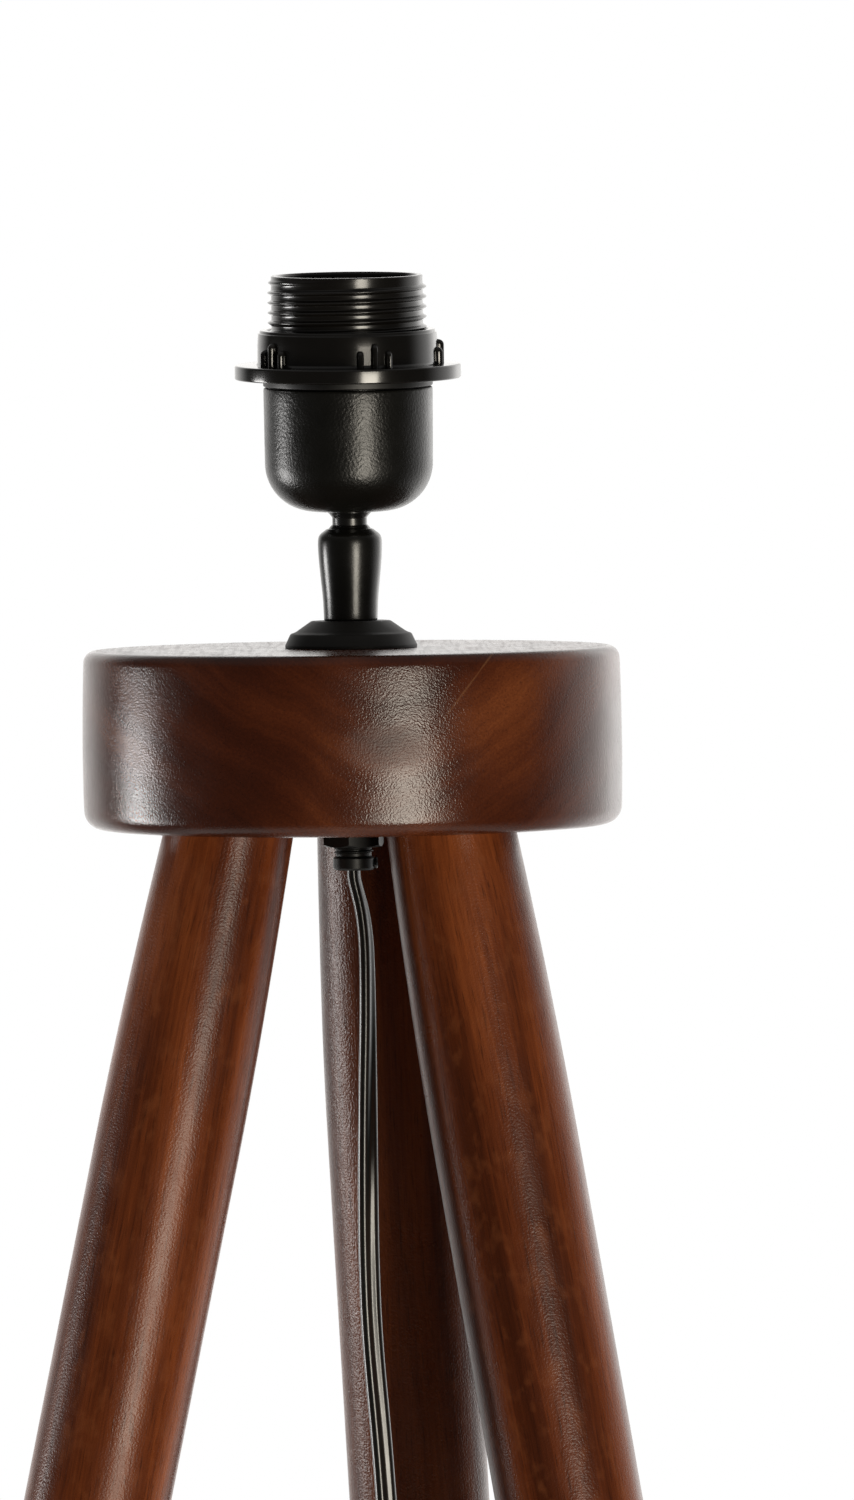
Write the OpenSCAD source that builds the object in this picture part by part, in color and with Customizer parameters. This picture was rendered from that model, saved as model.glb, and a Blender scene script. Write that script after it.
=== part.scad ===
// Tripod floor lamp.
// Three round wooden legs screw into angled sockets under a thick wooden disc.
// A hollow M10 rod clamps the disc, the base cap and a ball-joint swivel, and
// carries the two-core lead down to a cord grip under the disc.
// The swivel holds an E27 lampholder with an M40 x 2.5 sleeve and a shade ring.
// The lead hangs to the floor, through a foot switch, and ends in a flat plug.

/* [Stand] */
// Height from the floor to the lampholder's rim, head upright
total_h = 1300; // [1200:10:1500]
// Diameter of the wooden disc
disc_d = 135; // [125:1:160]
// Thickness of the wooden disc
disc_t = 44.5; // [42:0.5:60]
// Diameter of a leg along its length
leg_d = 36; // [34:0.5:40]
// Diameter of a leg where it enters the disc
leg_top_d = 31.9; // [30:0.1:32]
// Length of the taper at each end of a leg
leg_taper = 78; // [60:1:100]
// Splay of a leg from the vertical, in degrees
leg_splay = 12.44; // [11:0.01:14]
// Radius of the leg axes' circle at the disc's underside
leg_r = 32.4; // [31:0.1:38]
// Thickness of a foot glide
glide_t = 4; // [3:0.5:6]

/* [Swivel] */
// Tilt of the lampholder from upright, towards the front, in degrees
head_tilt = 3; // [-12:0.5:12]
// Direction of the tilt axis, in degrees from +X
tilt_dir = 12; // [0:1:360]
// Radius of the swivel's ball
ball_r = 6.5; // [6.3:0.1:6.5]
// Height of the ball's centre above the disc
ball_h = 26.05; // [26:0.05:26.1]

/* [Lampholder] */
// Outer radius of the shade ring's flange
flange_r = 28.3; // [26:0.1:32]
// Radius of the shade ring's collar
collar_r = 22.5; // [22:0.1:23]
// Radius over the crests of the sleeve's M40 thread
crest_r = 19.87; // [19.8:0.01:19.9]
// Pitch of the sleeve's thread
sleeve_pitch = 2.5; // [2:0.5:2.5]
// Bore radius of the E27 screw shell, at the thread's major diameter
shell_r = 13.3; // [13.2:0.05:13.35]

/* [Lead] */
// Width of the flat two-core lead
cord_w = 5.4; // [5:0.1:6]
// Thickness of the flat two-core lead
cord_t = 3; // [2.8:0.1:3.4]
// Radius of the storage coil at the middle of its turns
coil_r = 30; // [27:1:33]
// Travel of the foot switch's button
button_travel = 2.5; // [2:0.1:3]

/* [Hidden] */

$fn = 96;

// Heights above the disc's top, of the head's parts when upright
rim_h = 93.2;
disc_top = total_h - rim_h;
disc_bottom = disc_top - disc_t;
foot_r = leg_r + tan(leg_splay) * (disc_bottom - glide_t);
// The lamp's axis stands back from the origin, so that the origin is under the
// centre of the three feet's box
axis_y = -foot_r / 4;
leg_len = disc_bottom / cos(leg_splay);
socket_d = 8;
ball_z = disc_top + ball_h;
exit_h = -disc_t - 11.1;
exit_z = disc_top + exit_h;

// Lead: width direction at the exit, then the route.
// Each point is x, y from the lamp's axis, z, and the width's direction: its
// azimuth and, where it stands up, its elevation.
lead_dir = -88;
function dz(k) = 100 + (exit_z - 100) * k;
drop_route = [
    [0, 0, exit_z, -88], [0.15, 0, exit_z - 2.5, -89], [0.95, 0.2, exit_z - 6, -91],
    [1.75, 0.35, exit_z - 9.5, -94], [2.35, 0.5, exit_z - 13.5, -97], [2.8, 0.6, exit_z - 19, -100],
    [2.95, 0.65, exit_z - 27, -104], [2.95, 0.6, exit_z - 40, -112], [2.75, 0.4, exit_z - 58, -128],
    [2.6, 0.2, exit_z - 80, -144], [2.7, 0, exit_z - 100, -150], [3.5, -0.2, exit_z - 120, -150],
    [6.3, -0.4, exit_z - 157, -146],
    [10.3, 0, dz(0.78), -140], [12.4, 0.8, dz(0.67), -132], [13.4, 1.2, dz(0.56), -124],
    [14.2, 1.4, dz(0.45), -116], [15.4, 1.2, dz(0.34), -108], [17, 0.4, dz(0.23), -100],
    [19, -0.8, dz(0.14), -94], [21.5, -2.4, dz(0.06), -90],
    [25, -4.4, 92, -90], [33, -7.6, 60, -90], [46, -12, 32, -90],
    [63, -20, 12, -100], [80, -33, 3, -125], [91, -52, 1.8, -160],
    [91, -74, 1.8, -195], [80, -92, 2.2, -235], [64, -102, 3.6, -256],
    [50, -105, 5.6, -270], [44, -105, 6, -270]];
tail_route = [
    [-84, -105, 6, 90, 0], [-92, -105, 5.4, 88, 0], [-104, -101.6, 3, 66, 0],
    [-113.6, -94, 1.8, 42, 5], [-118.8, -84, 1.8, 18, 15], [-120.4, -72, 2, 2, 30],
    [-120.4, -57, 2.5, 0, 50], [-120, -42, 2.9, 0, 70], [-119.8, -28, 3.3, 0, 84],
    [-119.8, -15, 3.3, 0, 90]];
plug_route = [
    [-85, 19.8, 8.8, 90, 90], [-75, 19.8, 8.7, 90, 88], [-64, 19.9, 7.8, 90, 70],
    [-53, 20, 6.6, 90, 40], [-42, 20, 6.6, 90, 10], [-34, 20, 6.9, 90, 0]];
switch_x = -20;
switch_y = -105;
switch_l = 80;
switch_w = 34;
grommet_l = 24;
coil_x = -85;
coil_y = -15;
plug_x = -34;
plug_y = 20;

// ---- helpers -------------------------------------------------------------
function arc(cx, cy, r, a0, a1, n) =
    [for (i = [0:n]) let (a = a0 + (a1 - a0) * i / n) [cx + r * cos(a), cy + r * sin(a)]];
function unit(v) = v / norm(v);
function curve(a, b, c, d, t) = 0.5 * ((2 * b) + (c - a) * t
    + (2 * a - 5 * b + 4 * c - d) * t * t + (3 * b - a - 3 * c + d) * t * t * t);
function route(p, n) = concat(
    [for (i = [0:len(p) - 2]) for (k = [0:n - 1])
        curve(p[max(i - 1, 0)], p[i], p[i + 1], p[min(i + 2, len(p) - 1)], k / n)],
    [p[len(p) - 1]]);
function xyz(p) = [p[0], p[1], p[2]];

function width_dir(p) = let (e = len(p) > 4 ? p[4] : 0)
    [cos(p[3]) * cos(e), sin(p[3]) * cos(e), sin(e)];

// A closed tube of oval section swept along points of x, y, z, width direction
module sweep(q, w, t, sides) {
    m = len(q);
    rings = [for (i = [0:m - 1])
        let (d = unit(xyz(q[min(i + 1, m - 1)]) - xyz(q[max(i - 1, 0)])),
             s = width_dir(q[i]),
             u = unit(s - (s * d) * d), v = cross(d, u))
        for (j = [0:sides - 1])
            xyz(q[i]) + u * (w / 2) * cos(360 * j / sides) + v * (t / 2) * sin(360 * j / sides)];
    faces = concat(
        [[for (j = [0:sides - 1]) j]],
        [[for (j = [sides - 1:-1:0]) (m - 1) * sides + j]],
        [for (i = [0:m - 2]) for (j = [0:sides - 1])
            [i * sides + j, (i + 1) * sides + (j + 1) % sides, i * sides + (j + 1) % sides]],
        [for (i = [0:m - 2]) for (j = [0:sides - 1])
            [i * sides + j, (i + 1) * sides + j, (i + 1) * sides + (j + 1) % sides]]);
    polyhedron(points = rings, faces = faces, convexity = 6);
}

// Frames: on the lamp's axis at the disc's top, on the floor below the axis,
// in the tilted head with heights kept, and along one leg's own axis
module on_axis() translate([0, axis_y, disc_top]) children();
module on_floor() translate([0, axis_y, 0]) children();
module in_head() translate([0, axis_y, ball_z])
    rotate(a = head_tilt, v = [cos(tilt_dir), sin(tilt_dir), 0])
        translate([0, 0, -ball_h]) children();
module on_leg(a) translate([0, axis_y, disc_bottom]) rotate([0, 0, a])
    translate([leg_r, 0, 0]) rotate([0, -leg_splay, 0]) children();

leg_dirs = [90, 210, 330];

// ---- stand ---------------------------------------------------------------
module top_disc() {
    r = disc_d / 2;
    f1 = 4.5;
    f2 = 3;
    color([0.27, 0.11, 0.06]) difference() {
        on_axis() rotate_extrude($fn = 144) polygon(concat(
            [[0, -disc_t]], arc(r - f1, -disc_t + f1, f1, -90, 0, 8),
            arc(r - f2, -f2, f2, 0, 90, 8), [[0, 0]]));
        on_axis() translate([0, 0, -disc_t - 1]) cylinder(r = 5.2, h = disc_t + 2);
        for (a = leg_dirs) on_leg(a) {
            translate([0, 0, -20]) cylinder(r = leg_top_d / 2 + 0.25, h = 20 + socket_d);
            cylinder(r = 6.25, h = 27);
            cylinder(r = 4.2, h = 31);
        }
    }
}

// Radius of a leg at a distance from its end along the taper
function leg_rad(t) = leg_d / 2 - (leg_d - leg_top_d) / 2 * pow(max(0, 1 - t / leg_taper), 1.7);

module leg(a) {
    n = 12;
    color([0.33, 0.14, 0.07]) difference() {
        on_leg(a) rotate_extrude() polygon(concat(
            [[0, socket_d], [leg_rad(0) - 0.9, socket_d], [leg_rad(0) - 0.3, socket_d - 0.6]],
            [for (i = [0:n]) let (t = leg_taper * i / n) [leg_rad(t), -t]],
            [for (i = [n:-1:0]) let (t = leg_taper * i / n) [leg_rad(t), -leg_len + t]],
            [[leg_rad(0), -leg_len - 10], [0, -leg_len - 10]]));
        // foot cut level, with the glide's pin hole
        translate([-400, -400, -60]) cube([800, 800, 60 + glide_t]);
        translate([foot_r * cos(a), axis_y + foot_r * sin(a), 0]) cylinder(r = 1.55, h = 18);
        // hanger bolt's hole
        on_leg(a) translate([0, 0, -35]) cylinder(r = 4, h = 35 + socket_d + 1);
    }
}
module leg_back() leg(leg_dirs[0]);
module leg_left() leg(leg_dirs[1]);
module leg_right() leg(leg_dirs[2]);

module leg_hanger_bolts() color([0.72, 0.72, 0.70]) for (a = leg_dirs) on_leg(a)
    rotate_extrude($fn = 48) polygon([[0, -34], [1.5, -33], [3.9, -28], [3.9, 29], [3.2, 30], [0, 30]]);

module leg_insert_nuts() color([0.80, 0.62, 0.25]) for (a = leg_dirs) on_leg(a)
    rotate_extrude($fn = 48) polygon([[3.98, socket_d], [6.2, socket_d], [6.2, 26], [5.8, 26.6], [3.98, 26.6]]);

module foot_glides() color([0.07, 0.07, 0.07]) for (a = leg_dirs)
    translate([foot_r * cos(a), axis_y + foot_r * sin(a), 0])
        rotate_extrude($fn = 64) polygon(concat([[0, 0]], arc(11.2, 1.2, 1.2, -90, 0, 5),
            [[12.4, glide_t - 0.4], [12, glide_t], [1.5, glide_t], [1.5, 15], [0.4, 17], [0, 17]]));

// ---- rod and clamp hardware ------------------------------------------------
module threaded_rod() color([0.62, 0.60, 0.55]) on_axis() rotate_extrude($fn = 64)
    polygon([[3.6, -disc_t - 7.8], [4.6, -disc_t - 7.8], [4.93, -disc_t - 7.4],
        [4.93, 12.6], [4.6, 13], [3.6, 13]]);

module rod_washer() color([0.05, 0.05, 0.05]) on_axis() rotate_extrude($fn = 64)
    polygon([[5.05, -disc_t - 1.2], [8, -disc_t - 1.2], [8.2, -disc_t - 1], [8.2, -disc_t], [5.05, -disc_t]]);

module rod_nut() color([0.05, 0.05, 0.05]) on_axis() difference() {
    intersection() {
        translate([0, 0, -disc_t - 5.3]) rotate([0, 0, -86.5]) cylinder(d = 14 / cos(30), h = 4.1, $fn = 6);
        rotate_extrude($fn = 64) polygon([[0, -disc_t - 5.3], [6.9, -disc_t - 5.3], [8.3, -disc_t - 4.5],
            [8.3, -disc_t - 1.2], [0, -disc_t - 1.2]]);
    }
    translate([0, 0, -disc_t - 6]) cylinder(r = 4.98, h = 6);
}

module base_cap() color([0.06, 0.06, 0.06]) on_axis() rotate_extrude() polygon([
    [4.98, 6.8], [9.8, 6.8], [10.3, 6.6], [13.6, 4.2], [14.2, 3.9], [14.9, 3.7], [15.4, 3.3],
    [15.8, 2.4], [16.1, 1.3], [16.5, 0.7], [16.5, 0], [15.1, 0], [14.7, 1.8], [13.6, 2.5],
    [10, 5.4], [4.98, 5.4]]);

// ---- swivel ---------------------------------------------------------------
cavity_r = ball_r + 0.2;
module swivel_housing() color([0.05, 0.05, 0.05]) on_axis() rotate_extrude() polygon(concat(
    [[4.98, 6.8], [6.55, 6.8], [6.72, 7.1], [6.78, 9], [6.9, 12], [7.18, 14.6], [7.46, 17], [7.73, 19.5],
     [7.9, 22], [8, 24.4], [8.02, 26], [7.95, 27.2], [7.72, 28], [7.28, 28.55],
     [6.4, 29.25], [5.95, 29.6], [5.75, 29.75]],
    arc(0, ball_h, cavity_r, 34, 7, 8),
    [[6.65, 17], [5.8, 17], [5.8, 13], [4.98, 13]]));

module swivel_spring() color([0.55, 0.55, 0.55]) on_axis() {
    turns = 2.6;
    n = 16;
    q = [for (i = [0:n * turns]) let (a = 360 * i / n)
        [5.15 * cos(a), 5.15 * sin(a), 13.55 + 3.3 * i / (n * turns), a]];
    sweep(q, 0.95, 0.95, 6);
}

module swivel_seat() color([0.75, 0.74, 0.70]) on_axis() rotate_extrude($fn = 64) polygon(concat(
    [[3.2, 17.5], [6.2, 17.5], [6.58, 17.9], [6.58, 21.5]],
    arc(0, ball_h, cavity_r, -42.8, -61.4, 8)));

module ball_stud() color([0.06, 0.06, 0.06]) in_head() rotate_extrude() polygon(concat(
    arc(0, ball_h, ball_r, -66.4, 48, 30),
    [[4.35, ball_h + 6.5], [4.5, ball_h + 6.8], [5.1, ball_h + 7.5], [5.7, ball_h + 8], [5.75, 34.4],
     [4.93, 34.4], [4.93, 44.2], [4.6, 44.6], [2.6, 44.6]]));

// ---- lampholder -------------------------------------------------------------
module lampholder_cup() color([0.06, 0.06, 0.06]) in_head() difference() {
    rotate_extrude() polygon(concat(
        [[4.98, 34.4]], arc(9, 46.4, 12, -90, 0, 14), [[21.15, 64.9], [20.95, 65.3], [19.65, 65.3]],
        arc(9, 46.4, 10.4, 0, -90, 12), [[8, 36], [8, 44.4], [4.98, 44.4]]));
    // lock screw's hole in the boss
    rotate([0, 0, tilt_dir + 90]) translate([4, 0, 40.4]) rotate([0, 90, 0]) cylinder(r = 1.3, h = 5, $fn = 32);
}

module cup_lock_screw() color([0.7, 0.7, 0.68]) in_head() rotate([0, 0, tilt_dir + 90])
    translate([5, 0, 40.4]) rotate([0, 90, 0]) rotate_extrude($fn = 32)
        polygon([[0, 0], [1.25, 0], [1.25, 3.05], [2.4, 3.05], [2.4, 4], [1.9, 4.7], [0, 4.7]]);

// Thread crests as plain ridges
function crests(top, n, p) = [for (k = [n - 1:-1:0]) for (q = [[18.95, -0.85], [crest_r, -0.12], [crest_r, 0.12], [18.95, 0.85]])
    [q[0], top - k * p + q[1]]];
module threaded_sleeve() color([0.03, 0.03, 0.03]) in_head() rotate_extrude() polygon(concat(
    [[17.3, 58], [19.1, 58], [19.4, 58.4], [19.4, 65.6], [21, 65.6], [21.2, 65.8], [21.2, 67.1],
     [21, 67.3], [18.95, 67.3]],
    crests(89.6, 8, sleeve_pitch),
    [[18.95, 92.8], [18.6, rim_h], [17.7, rim_h], [17.3, 92.8]]));

module shade_ring() color([0.03, 0.03, 0.03]) in_head() {
    rotate_extrude() polygon([[20.05, 67.4], [flange_r - 0.4, 67.4], [flange_r, 67.8], [flange_r, 70.6],
        [flange_r - 0.4, 71], [collar_r + 0.3, 71], [collar_r, 71.3], [collar_r, 78.6], [collar_r - 0.35, 78.9],
        [collar_r - 0.5, 79.4], [collar_r - 0.9, 79.7], [20.5, 79.7], [20.05, 79.2]]);
    for (g = [0:4]) for (j = [-1:1])
        rotate([0, 0, -60.9 + 72 * g + 9.2 * j]) translate([collar_r - 0.6, -1, 70.5]) {
            cube([2.2, 2, (j == 0 ? 6 : 4.3)]);
            translate([0, 1, (j == 0 ? 6 : 4.3)]) rotate([0, 90, 0]) cylinder(r = 1, h = 2.2, $fn = 32);
        }
}

module socket_insert() color([0.12, 0.12, 0.12]) in_head() difference() {
    rotate_extrude() polygon([[0, 47], [16.8, 47], [17.2, 47.4], [17.2, 64], [15.4, 64], [15.4, 88.6],
        [15, 89], [14, 89], [13.9, 88.9], [13.9, 62], [0, 62]]);
    // terminal screws' pockets and wire entries
    for (s = [-1, 1]) {
        translate([s * 10, 0, 46]) cylinder(r = 3, h = 4, $fn = 32);
        translate([s * 10, 0, 46]) cylinder(r = 1.5, h = 11.5, $fn = 32);
        translate([s * 2.3, 0, 46]) cylinder(r = 1.5, h = 10, $fn = 32);
    }
    // pocket for the centre contact
    translate([-3.2, -9.5, 60]) cube([6.4, 19, 3]);
}

module screw_shell() color([0.82, 0.66, 0.32]) in_head() rotate_extrude() polygon([
    [11.4, 62.05], [12.5, 62.05], [12.5, 65.8], [13.75, 66.2], [13.75, 88.4], [13.6, 88.6],
    [shell_r, 88.6], [shell_r, 66.4], [12, 66], [12, 62.6], [11.4, 62.6]]);

module centre_contact() color([0.82, 0.66, 0.32]) in_head() translate([2.5, 0, 0]) rotate([0, -90, 0])
    linear_extrude(height = 5) polygon([[61.4, -8.8], [62, -8.8], [62, -4.5], [65.4, -1.2], [65.9, 0.6],
        [65.6, 2.4], [64.6, 4.2], [64.1, 3.9], [65, 2.2], [65.2, 0.6], [64.8, -0.8], [61.4, -4.1]]);

module terminal_screws() color([0.7, 0.7, 0.68]) in_head() for (s = [-1, 1])
    translate([s * 10, 0, 0]) difference() {
        rotate_extrude($fn = 32) polygon([[0, 47.4], [2.3, 47.4], [2.7, 47.8], [2.7, 49.9], [1.45, 49.9],
            [1.45, 57], [0, 57.3]]);
        translate([-3, -0.3, 47]) cube([6, 0.6, 1.1]);
    }

// ---- wires ------------------------------------------------------------------
module wires_upper() color([0.25, 0.14, 0.08]) in_head() for (s = [-1, 1])
    sweep(route([[s * 1.25, 0, 20.4, 0], [s * 1.25, 0, 32, 0], [s * 1.25, 0, 41, 0], [s * 1.5, 0, 44, 0],
        [s * 2.1, 0, 46.6, 0], [s * 2.3, 0, 49, 0], [s * 2.3, 0, 55, 0]], 2), 2.1, 2.1, 8);

module lead_shape() rotate([0, 0, lead_dir]) {
    for (s = [-1, 1]) translate([s * (cord_w - cord_t) / 2, 0]) circle(d = cord_t, $fn = 32);
    square([cord_w - cord_t, cord_t - 0.6], center = true);
}
module wires_lower() color([0.25, 0.14, 0.08]) on_axis() {
    translate([0, 0, exit_h]) linear_extrude(height = 12) lead_shape();
    rotate([0, 0, lead_dir]) for (s = [-1, 1]) translate([s * 1.25, 0, exit_h + 11])
        cylinder(r = 1.1, h = 17 - exit_h - 11, $fn = 32);
}

// ---- cord grip at the rod's lower end ---------------------------------------
module cord_grip() color([0.04, 0.04, 0.04]) on_axis() difference() {
    rotate_extrude($fn = 64) polygon([[0, exit_h], [4.7, exit_h], [5.2, exit_h + 0.5], [5.2, exit_h + 2.9],
        [4.9, exit_h + 3.3], [3.55, exit_h + 3.3], [3.5, exit_h + 11.6], [0, exit_h + 11.6]]);
    translate([0, 0, exit_h - 1]) linear_extrude(height = 14) offset_free_slot();
    rotate([0, 0, tilt_dir]) translate([0, 0, exit_h + 1.7]) rotate([0, 90, 0]) cylinder(r = 1.1, h = 8, $fn = 32);
}
module offset_free_slot() rotate([0, 0, lead_dir]) {
    for (s = [-1, 1]) translate([s * (cord_w - cord_t) / 2, 0]) circle(d = cord_t + 0.1, $fn = 32);
    square([cord_w - cord_t, cord_t + 0.1], center = true);
}
module cord_grip_screw() color([0.05, 0.05, 0.05]) on_axis() rotate([0, 0, tilt_dir])
    translate([2.7, 0, exit_h + 1.7]) rotate([0, 90, 0]) rotate_extrude($fn = 32)
        polygon([[0, 0], [1.05, 0], [1.05, 2.52], [1.5, 2.52], [1.5, 3.0], [1.2, 3.3], [0, 3.3]]);

// ---- lead -------------------------------------------------------------------
module cord_drop() color([0.03, 0.03, 0.03]) on_floor() sweep(route(drop_route, 2), cord_w, cord_t, 10);

module cord_tail() color([0.03, 0.03, 0.03]) on_floor() sweep(route(tail_route, 2), cord_w, cord_t, 10);

module cord_end() color([0.03, 0.03, 0.03]) on_floor() sweep(route(plug_route, 2), cord_w, cord_t, 10);

module cord_coil() color([0.03, 0.03, 0.03]) on_floor() translate([coil_x, coil_y, 0.6]) rotate_extrude()
    polygon(concat(arc(coil_r - 5.1, 1.5, 1.5, 180, 270, 4), arc(coil_r + 5.1, 1.5, 1.5, 270, 360, 4),
        arc(coil_r + 5.1, 9.5, 1.5, 0, 90, 4), arc(coil_r - 5.1, 9.5, 1.5, 90, 180, 4)));

module coil_tie() color([0.10, 0.10, 0.10]) on_floor() translate([coil_x + coil_r, coil_y, 0]) difference() {
    translate([-8, -5, 0]) cube([16, 10, 12.9]);
    translate([-7.1, -6, 0.5]) cube([14.2, 12, 11.5]);
}

// ---- foot switch --------------------------------------------------------------
module pill(l, w) {
    for (s = [-1, 1]) translate([s * (l - w) / 2, 0]) circle(d = w);
    square([l - w, w], center = true);
}
module on_switch() on_floor() translate([switch_x, switch_y, 0]) children();

module switch_base() color([0.04, 0.04, 0.04]) on_switch() difference() {
    linear_extrude(height = 10) pill(switch_l, switch_w);
    translate([0, 0, 2]) linear_extrude(height = 9) pill(switch_l - 4.4, switch_w - 4.4);
    for (s = [-1, 1]) {
        translate([s * 31, 0, -1]) cylinder(r = 2.9, h = 2.4, $fn = 32);
        translate([s * 31, 0, -1]) cylinder(r = 1.6, h = 5, $fn = 32);
        translate([s * (switch_l / 2 - 4), 0, 6]) rotate([0, s * 90, 0]) cylinder(r = 3.05, h = 6, $fn = 48);
    }
}

module switch_cover() color([0.04, 0.04, 0.04]) on_switch() difference() {
    union() {
        difference() {
            union() {
                translate([0, 0, 10.05]) linear_extrude(height = 6.95) pill(switch_l, switch_w);
                translate([0, 0, 17]) linear_extrude(height = 2) pill(switch_l - 2.4, switch_w - 2.4);
                translate([0, 0, 19]) linear_extrude(height = 2) pill(switch_l - 7, switch_w - 7);
            }
            translate([0, 0, 9]) linear_extrude(height = 8) pill(switch_l - 4.4, switch_w - 4.4);
            translate([0, 0, 16.9]) linear_extrude(height = 2) pill(switch_l - 11, switch_w - 8);
        }
        for (s = [-1, 1]) translate([s * 31, 0, 10.05]) cylinder(r = 3.1, h = 9.4, $fn = 32);
    }
    translate([0, 0, 8]) cylinder(r = 11.3, h = 16);
    for (s = [-1, 1]) translate([s * 31, 0, 9]) cylinder(r = 1.45, h = 6, $fn = 32);
}

module switch_button() color([0.05, 0.05, 0.05]) on_switch() rotate_extrude() polygon(concat(
    [[0, 14.2], [0, 12.5], [2.4, 12.5], [2.4, 14.2], [12.2, 14.2], [12.2, 15.6], [11, 15.6], [11, 22.4]],
    arc(9.6, 22.4, 1.4, 0, 90, 5), [[0, 24.4]]));

module switch_spring() color([0.6, 0.6, 0.6]) on_switch() {
    turns = 5;
    n = 16;
    q = [for (i = [0:n * turns]) let (a = 360 * i / n)
        [4.2 * cos(a), 4.2 * sin(a), 2.5 + 11.2 * i / (n * turns), a]];
    sweep(q, 0.9, 0.9, 6);
}

module switch_terminals() color([0.80, 0.64, 0.30]) on_switch() for (s = [-1, 1])
    translate([s * 20, 0, 2]) difference() {
        translate([-4, -7, 0]) cube([8, 14, 6]);
        for (t = [-3.5, 3.5]) translate([-5, t, 3]) rotate([0, 90, 0]) cylinder(r = 1.2, h = 10, $fn = 24);
        for (t = [-3.5, 3.5]) translate([0, t, 3]) cylinder(r = 1.3, h = 4, $fn = 24);
    }

module switch_screws() color([0.7, 0.7, 0.68]) on_switch() for (s = [-1, 1]) translate([s * 31, 0, 0])
    rotate_extrude($fn = 32) polygon([[0, 0.3], [2.3, 0.3], [2.6, 0.6], [2.6, 1.4], [1.4, 1.4], [1.4, 14], [0, 14.8]]);

// Tapered strain reliefs at both ends of the switch
module switch_grommets() color([0.03, 0.03, 0.03]) on_switch() for (s = [-1, 1])
    translate([s * (switch_l / 2 - 3.6), 0, 6]) rotate([0, s * 90, 0]) rotate_extrude($fn = 48)
        polygon([[0, 0], [4.4, 0], [4.4, 0.55], [3, 0.55], [3, 3.7], [4.7, 3.7], [4.7, 6], [3.3, 27.6], [0, 27.6]]);

// ---- plug ----------------------------------------------------------------------
// Flat two-pin plug lying on its side; its tail is the lead's strain relief
module on_plug() on_floor() translate([plug_x, plug_y, 6.9]) children();
module plug_body() color([0.03, 0.03, 0.03]) on_plug() {
    rotate([0, 90, 0]) rotate_extrude($fn = 48) polygon([[0, 0], [3.3, 0], [4.8, 20], [5, 24.5], [0, 24.5]]);
    translate([24, 0, -6.85]) {
        hull() {
            translate([0, -8, 1.5]) cube([1, 16, 10.7]);
            translate([10, -15.5, 0]) cube([1, 31, 13.7]);
        }
        translate([11, 0, 0]) hull() {
            translate([0, -15.5, 0]) cube([1, 31, 13.7]);
            translate([8, -17.6, 2.6]) cube([12, 35.2, 8.5]);
            translate([8, -13, 0]) cube([12, 26, 13.7]);
        }
    }
}
module plug_pins() color([0.78, 0.78, 0.76]) on_plug() for (s = [-1, 1])
    translate([55, s * 9.2, 0]) rotate([0, 90, 0]) rotate_extrude($fn = 32)
        polygon(concat([[0, 0], [1.9, 0], [1.9, 9], [2, 10]], arc(0, 17, 2, 0, 90, 6)));

top_disc();
leg_back();
leg_left();
leg_right();
leg_hanger_bolts();
leg_insert_nuts();
foot_glides();
threaded_rod();
rod_washer();
rod_nut();
base_cap();
swivel_housing();
swivel_spring();
swivel_seat();
ball_stud();
lampholder_cup();
cup_lock_screw();
threaded_sleeve();
shade_ring();
socket_insert();
screw_shell();
centre_contact();
terminal_screws();
wires_upper();
wires_lower();
cord_grip();
cord_grip_screw();
cord_drop();
cord_tail();
cord_coil();
cord_end();
coil_tie();
switch_base();
switch_cover();
switch_button();
switch_spring();
switch_terminals();
switch_screws();
switch_grommets();
plug_body();
plug_pins();
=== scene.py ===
import bpy
import bmesh
import math
from mathutils import Euler, Matrix, Vector, noise


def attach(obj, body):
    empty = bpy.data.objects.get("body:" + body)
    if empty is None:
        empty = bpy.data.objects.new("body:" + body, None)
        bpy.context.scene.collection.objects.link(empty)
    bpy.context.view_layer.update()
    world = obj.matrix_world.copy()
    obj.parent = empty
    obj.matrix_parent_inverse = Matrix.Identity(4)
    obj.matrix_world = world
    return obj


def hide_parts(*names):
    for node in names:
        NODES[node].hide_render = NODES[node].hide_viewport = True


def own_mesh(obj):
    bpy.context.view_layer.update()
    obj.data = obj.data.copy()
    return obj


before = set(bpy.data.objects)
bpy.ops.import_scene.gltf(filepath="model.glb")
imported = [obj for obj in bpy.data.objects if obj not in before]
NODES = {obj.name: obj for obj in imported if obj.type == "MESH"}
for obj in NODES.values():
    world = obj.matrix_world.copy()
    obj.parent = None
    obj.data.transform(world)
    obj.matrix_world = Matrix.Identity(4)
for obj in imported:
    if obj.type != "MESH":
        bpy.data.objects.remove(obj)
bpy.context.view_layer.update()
pi, rad = math.pi, math.radians

# ---- the lamp's own dimensions, in millimetres, as in the CAD ---------------
DISC_TOP, DISC_T = 1206.8, 44.5
DISC_BOTTOM = DISC_TOP - DISC_T
SPLAY, LEG_R, LEG_D, LEG_TOP_D, LEG_TAPER, GLIDE_T = 12.44, 32.4, 36.0, 31.9, 78.0, 4.0
FOOT_R = LEG_R + math.tan(rad(SPLAY)) * (DISC_BOTTOM - GLIDE_T)
AXIS_Y = -FOOT_R / 4
LEG_LEN = DISC_BOTTOM / math.cos(rad(SPLAY))
BALL_H = 26.05
EXIT_H = -DISC_T - 11.1
EXIT_Z = DISC_TOP + EXIT_H
LEG_DIRS = {"leg_back": 90, "leg_left": 210, "leg_right": 330}
TILT, TILT_DIR = 3.0, 12.0
COIL_X, COIL_Y, COIL_R = -85.0, -15.0, 30.0
SWITCH_X, SWITCH_Y = -20.0, -105.0
PLUG_X, PLUG_Y = -34.0, 20.0
CORD_W, CORD_T = 5.4, 3.0

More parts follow.
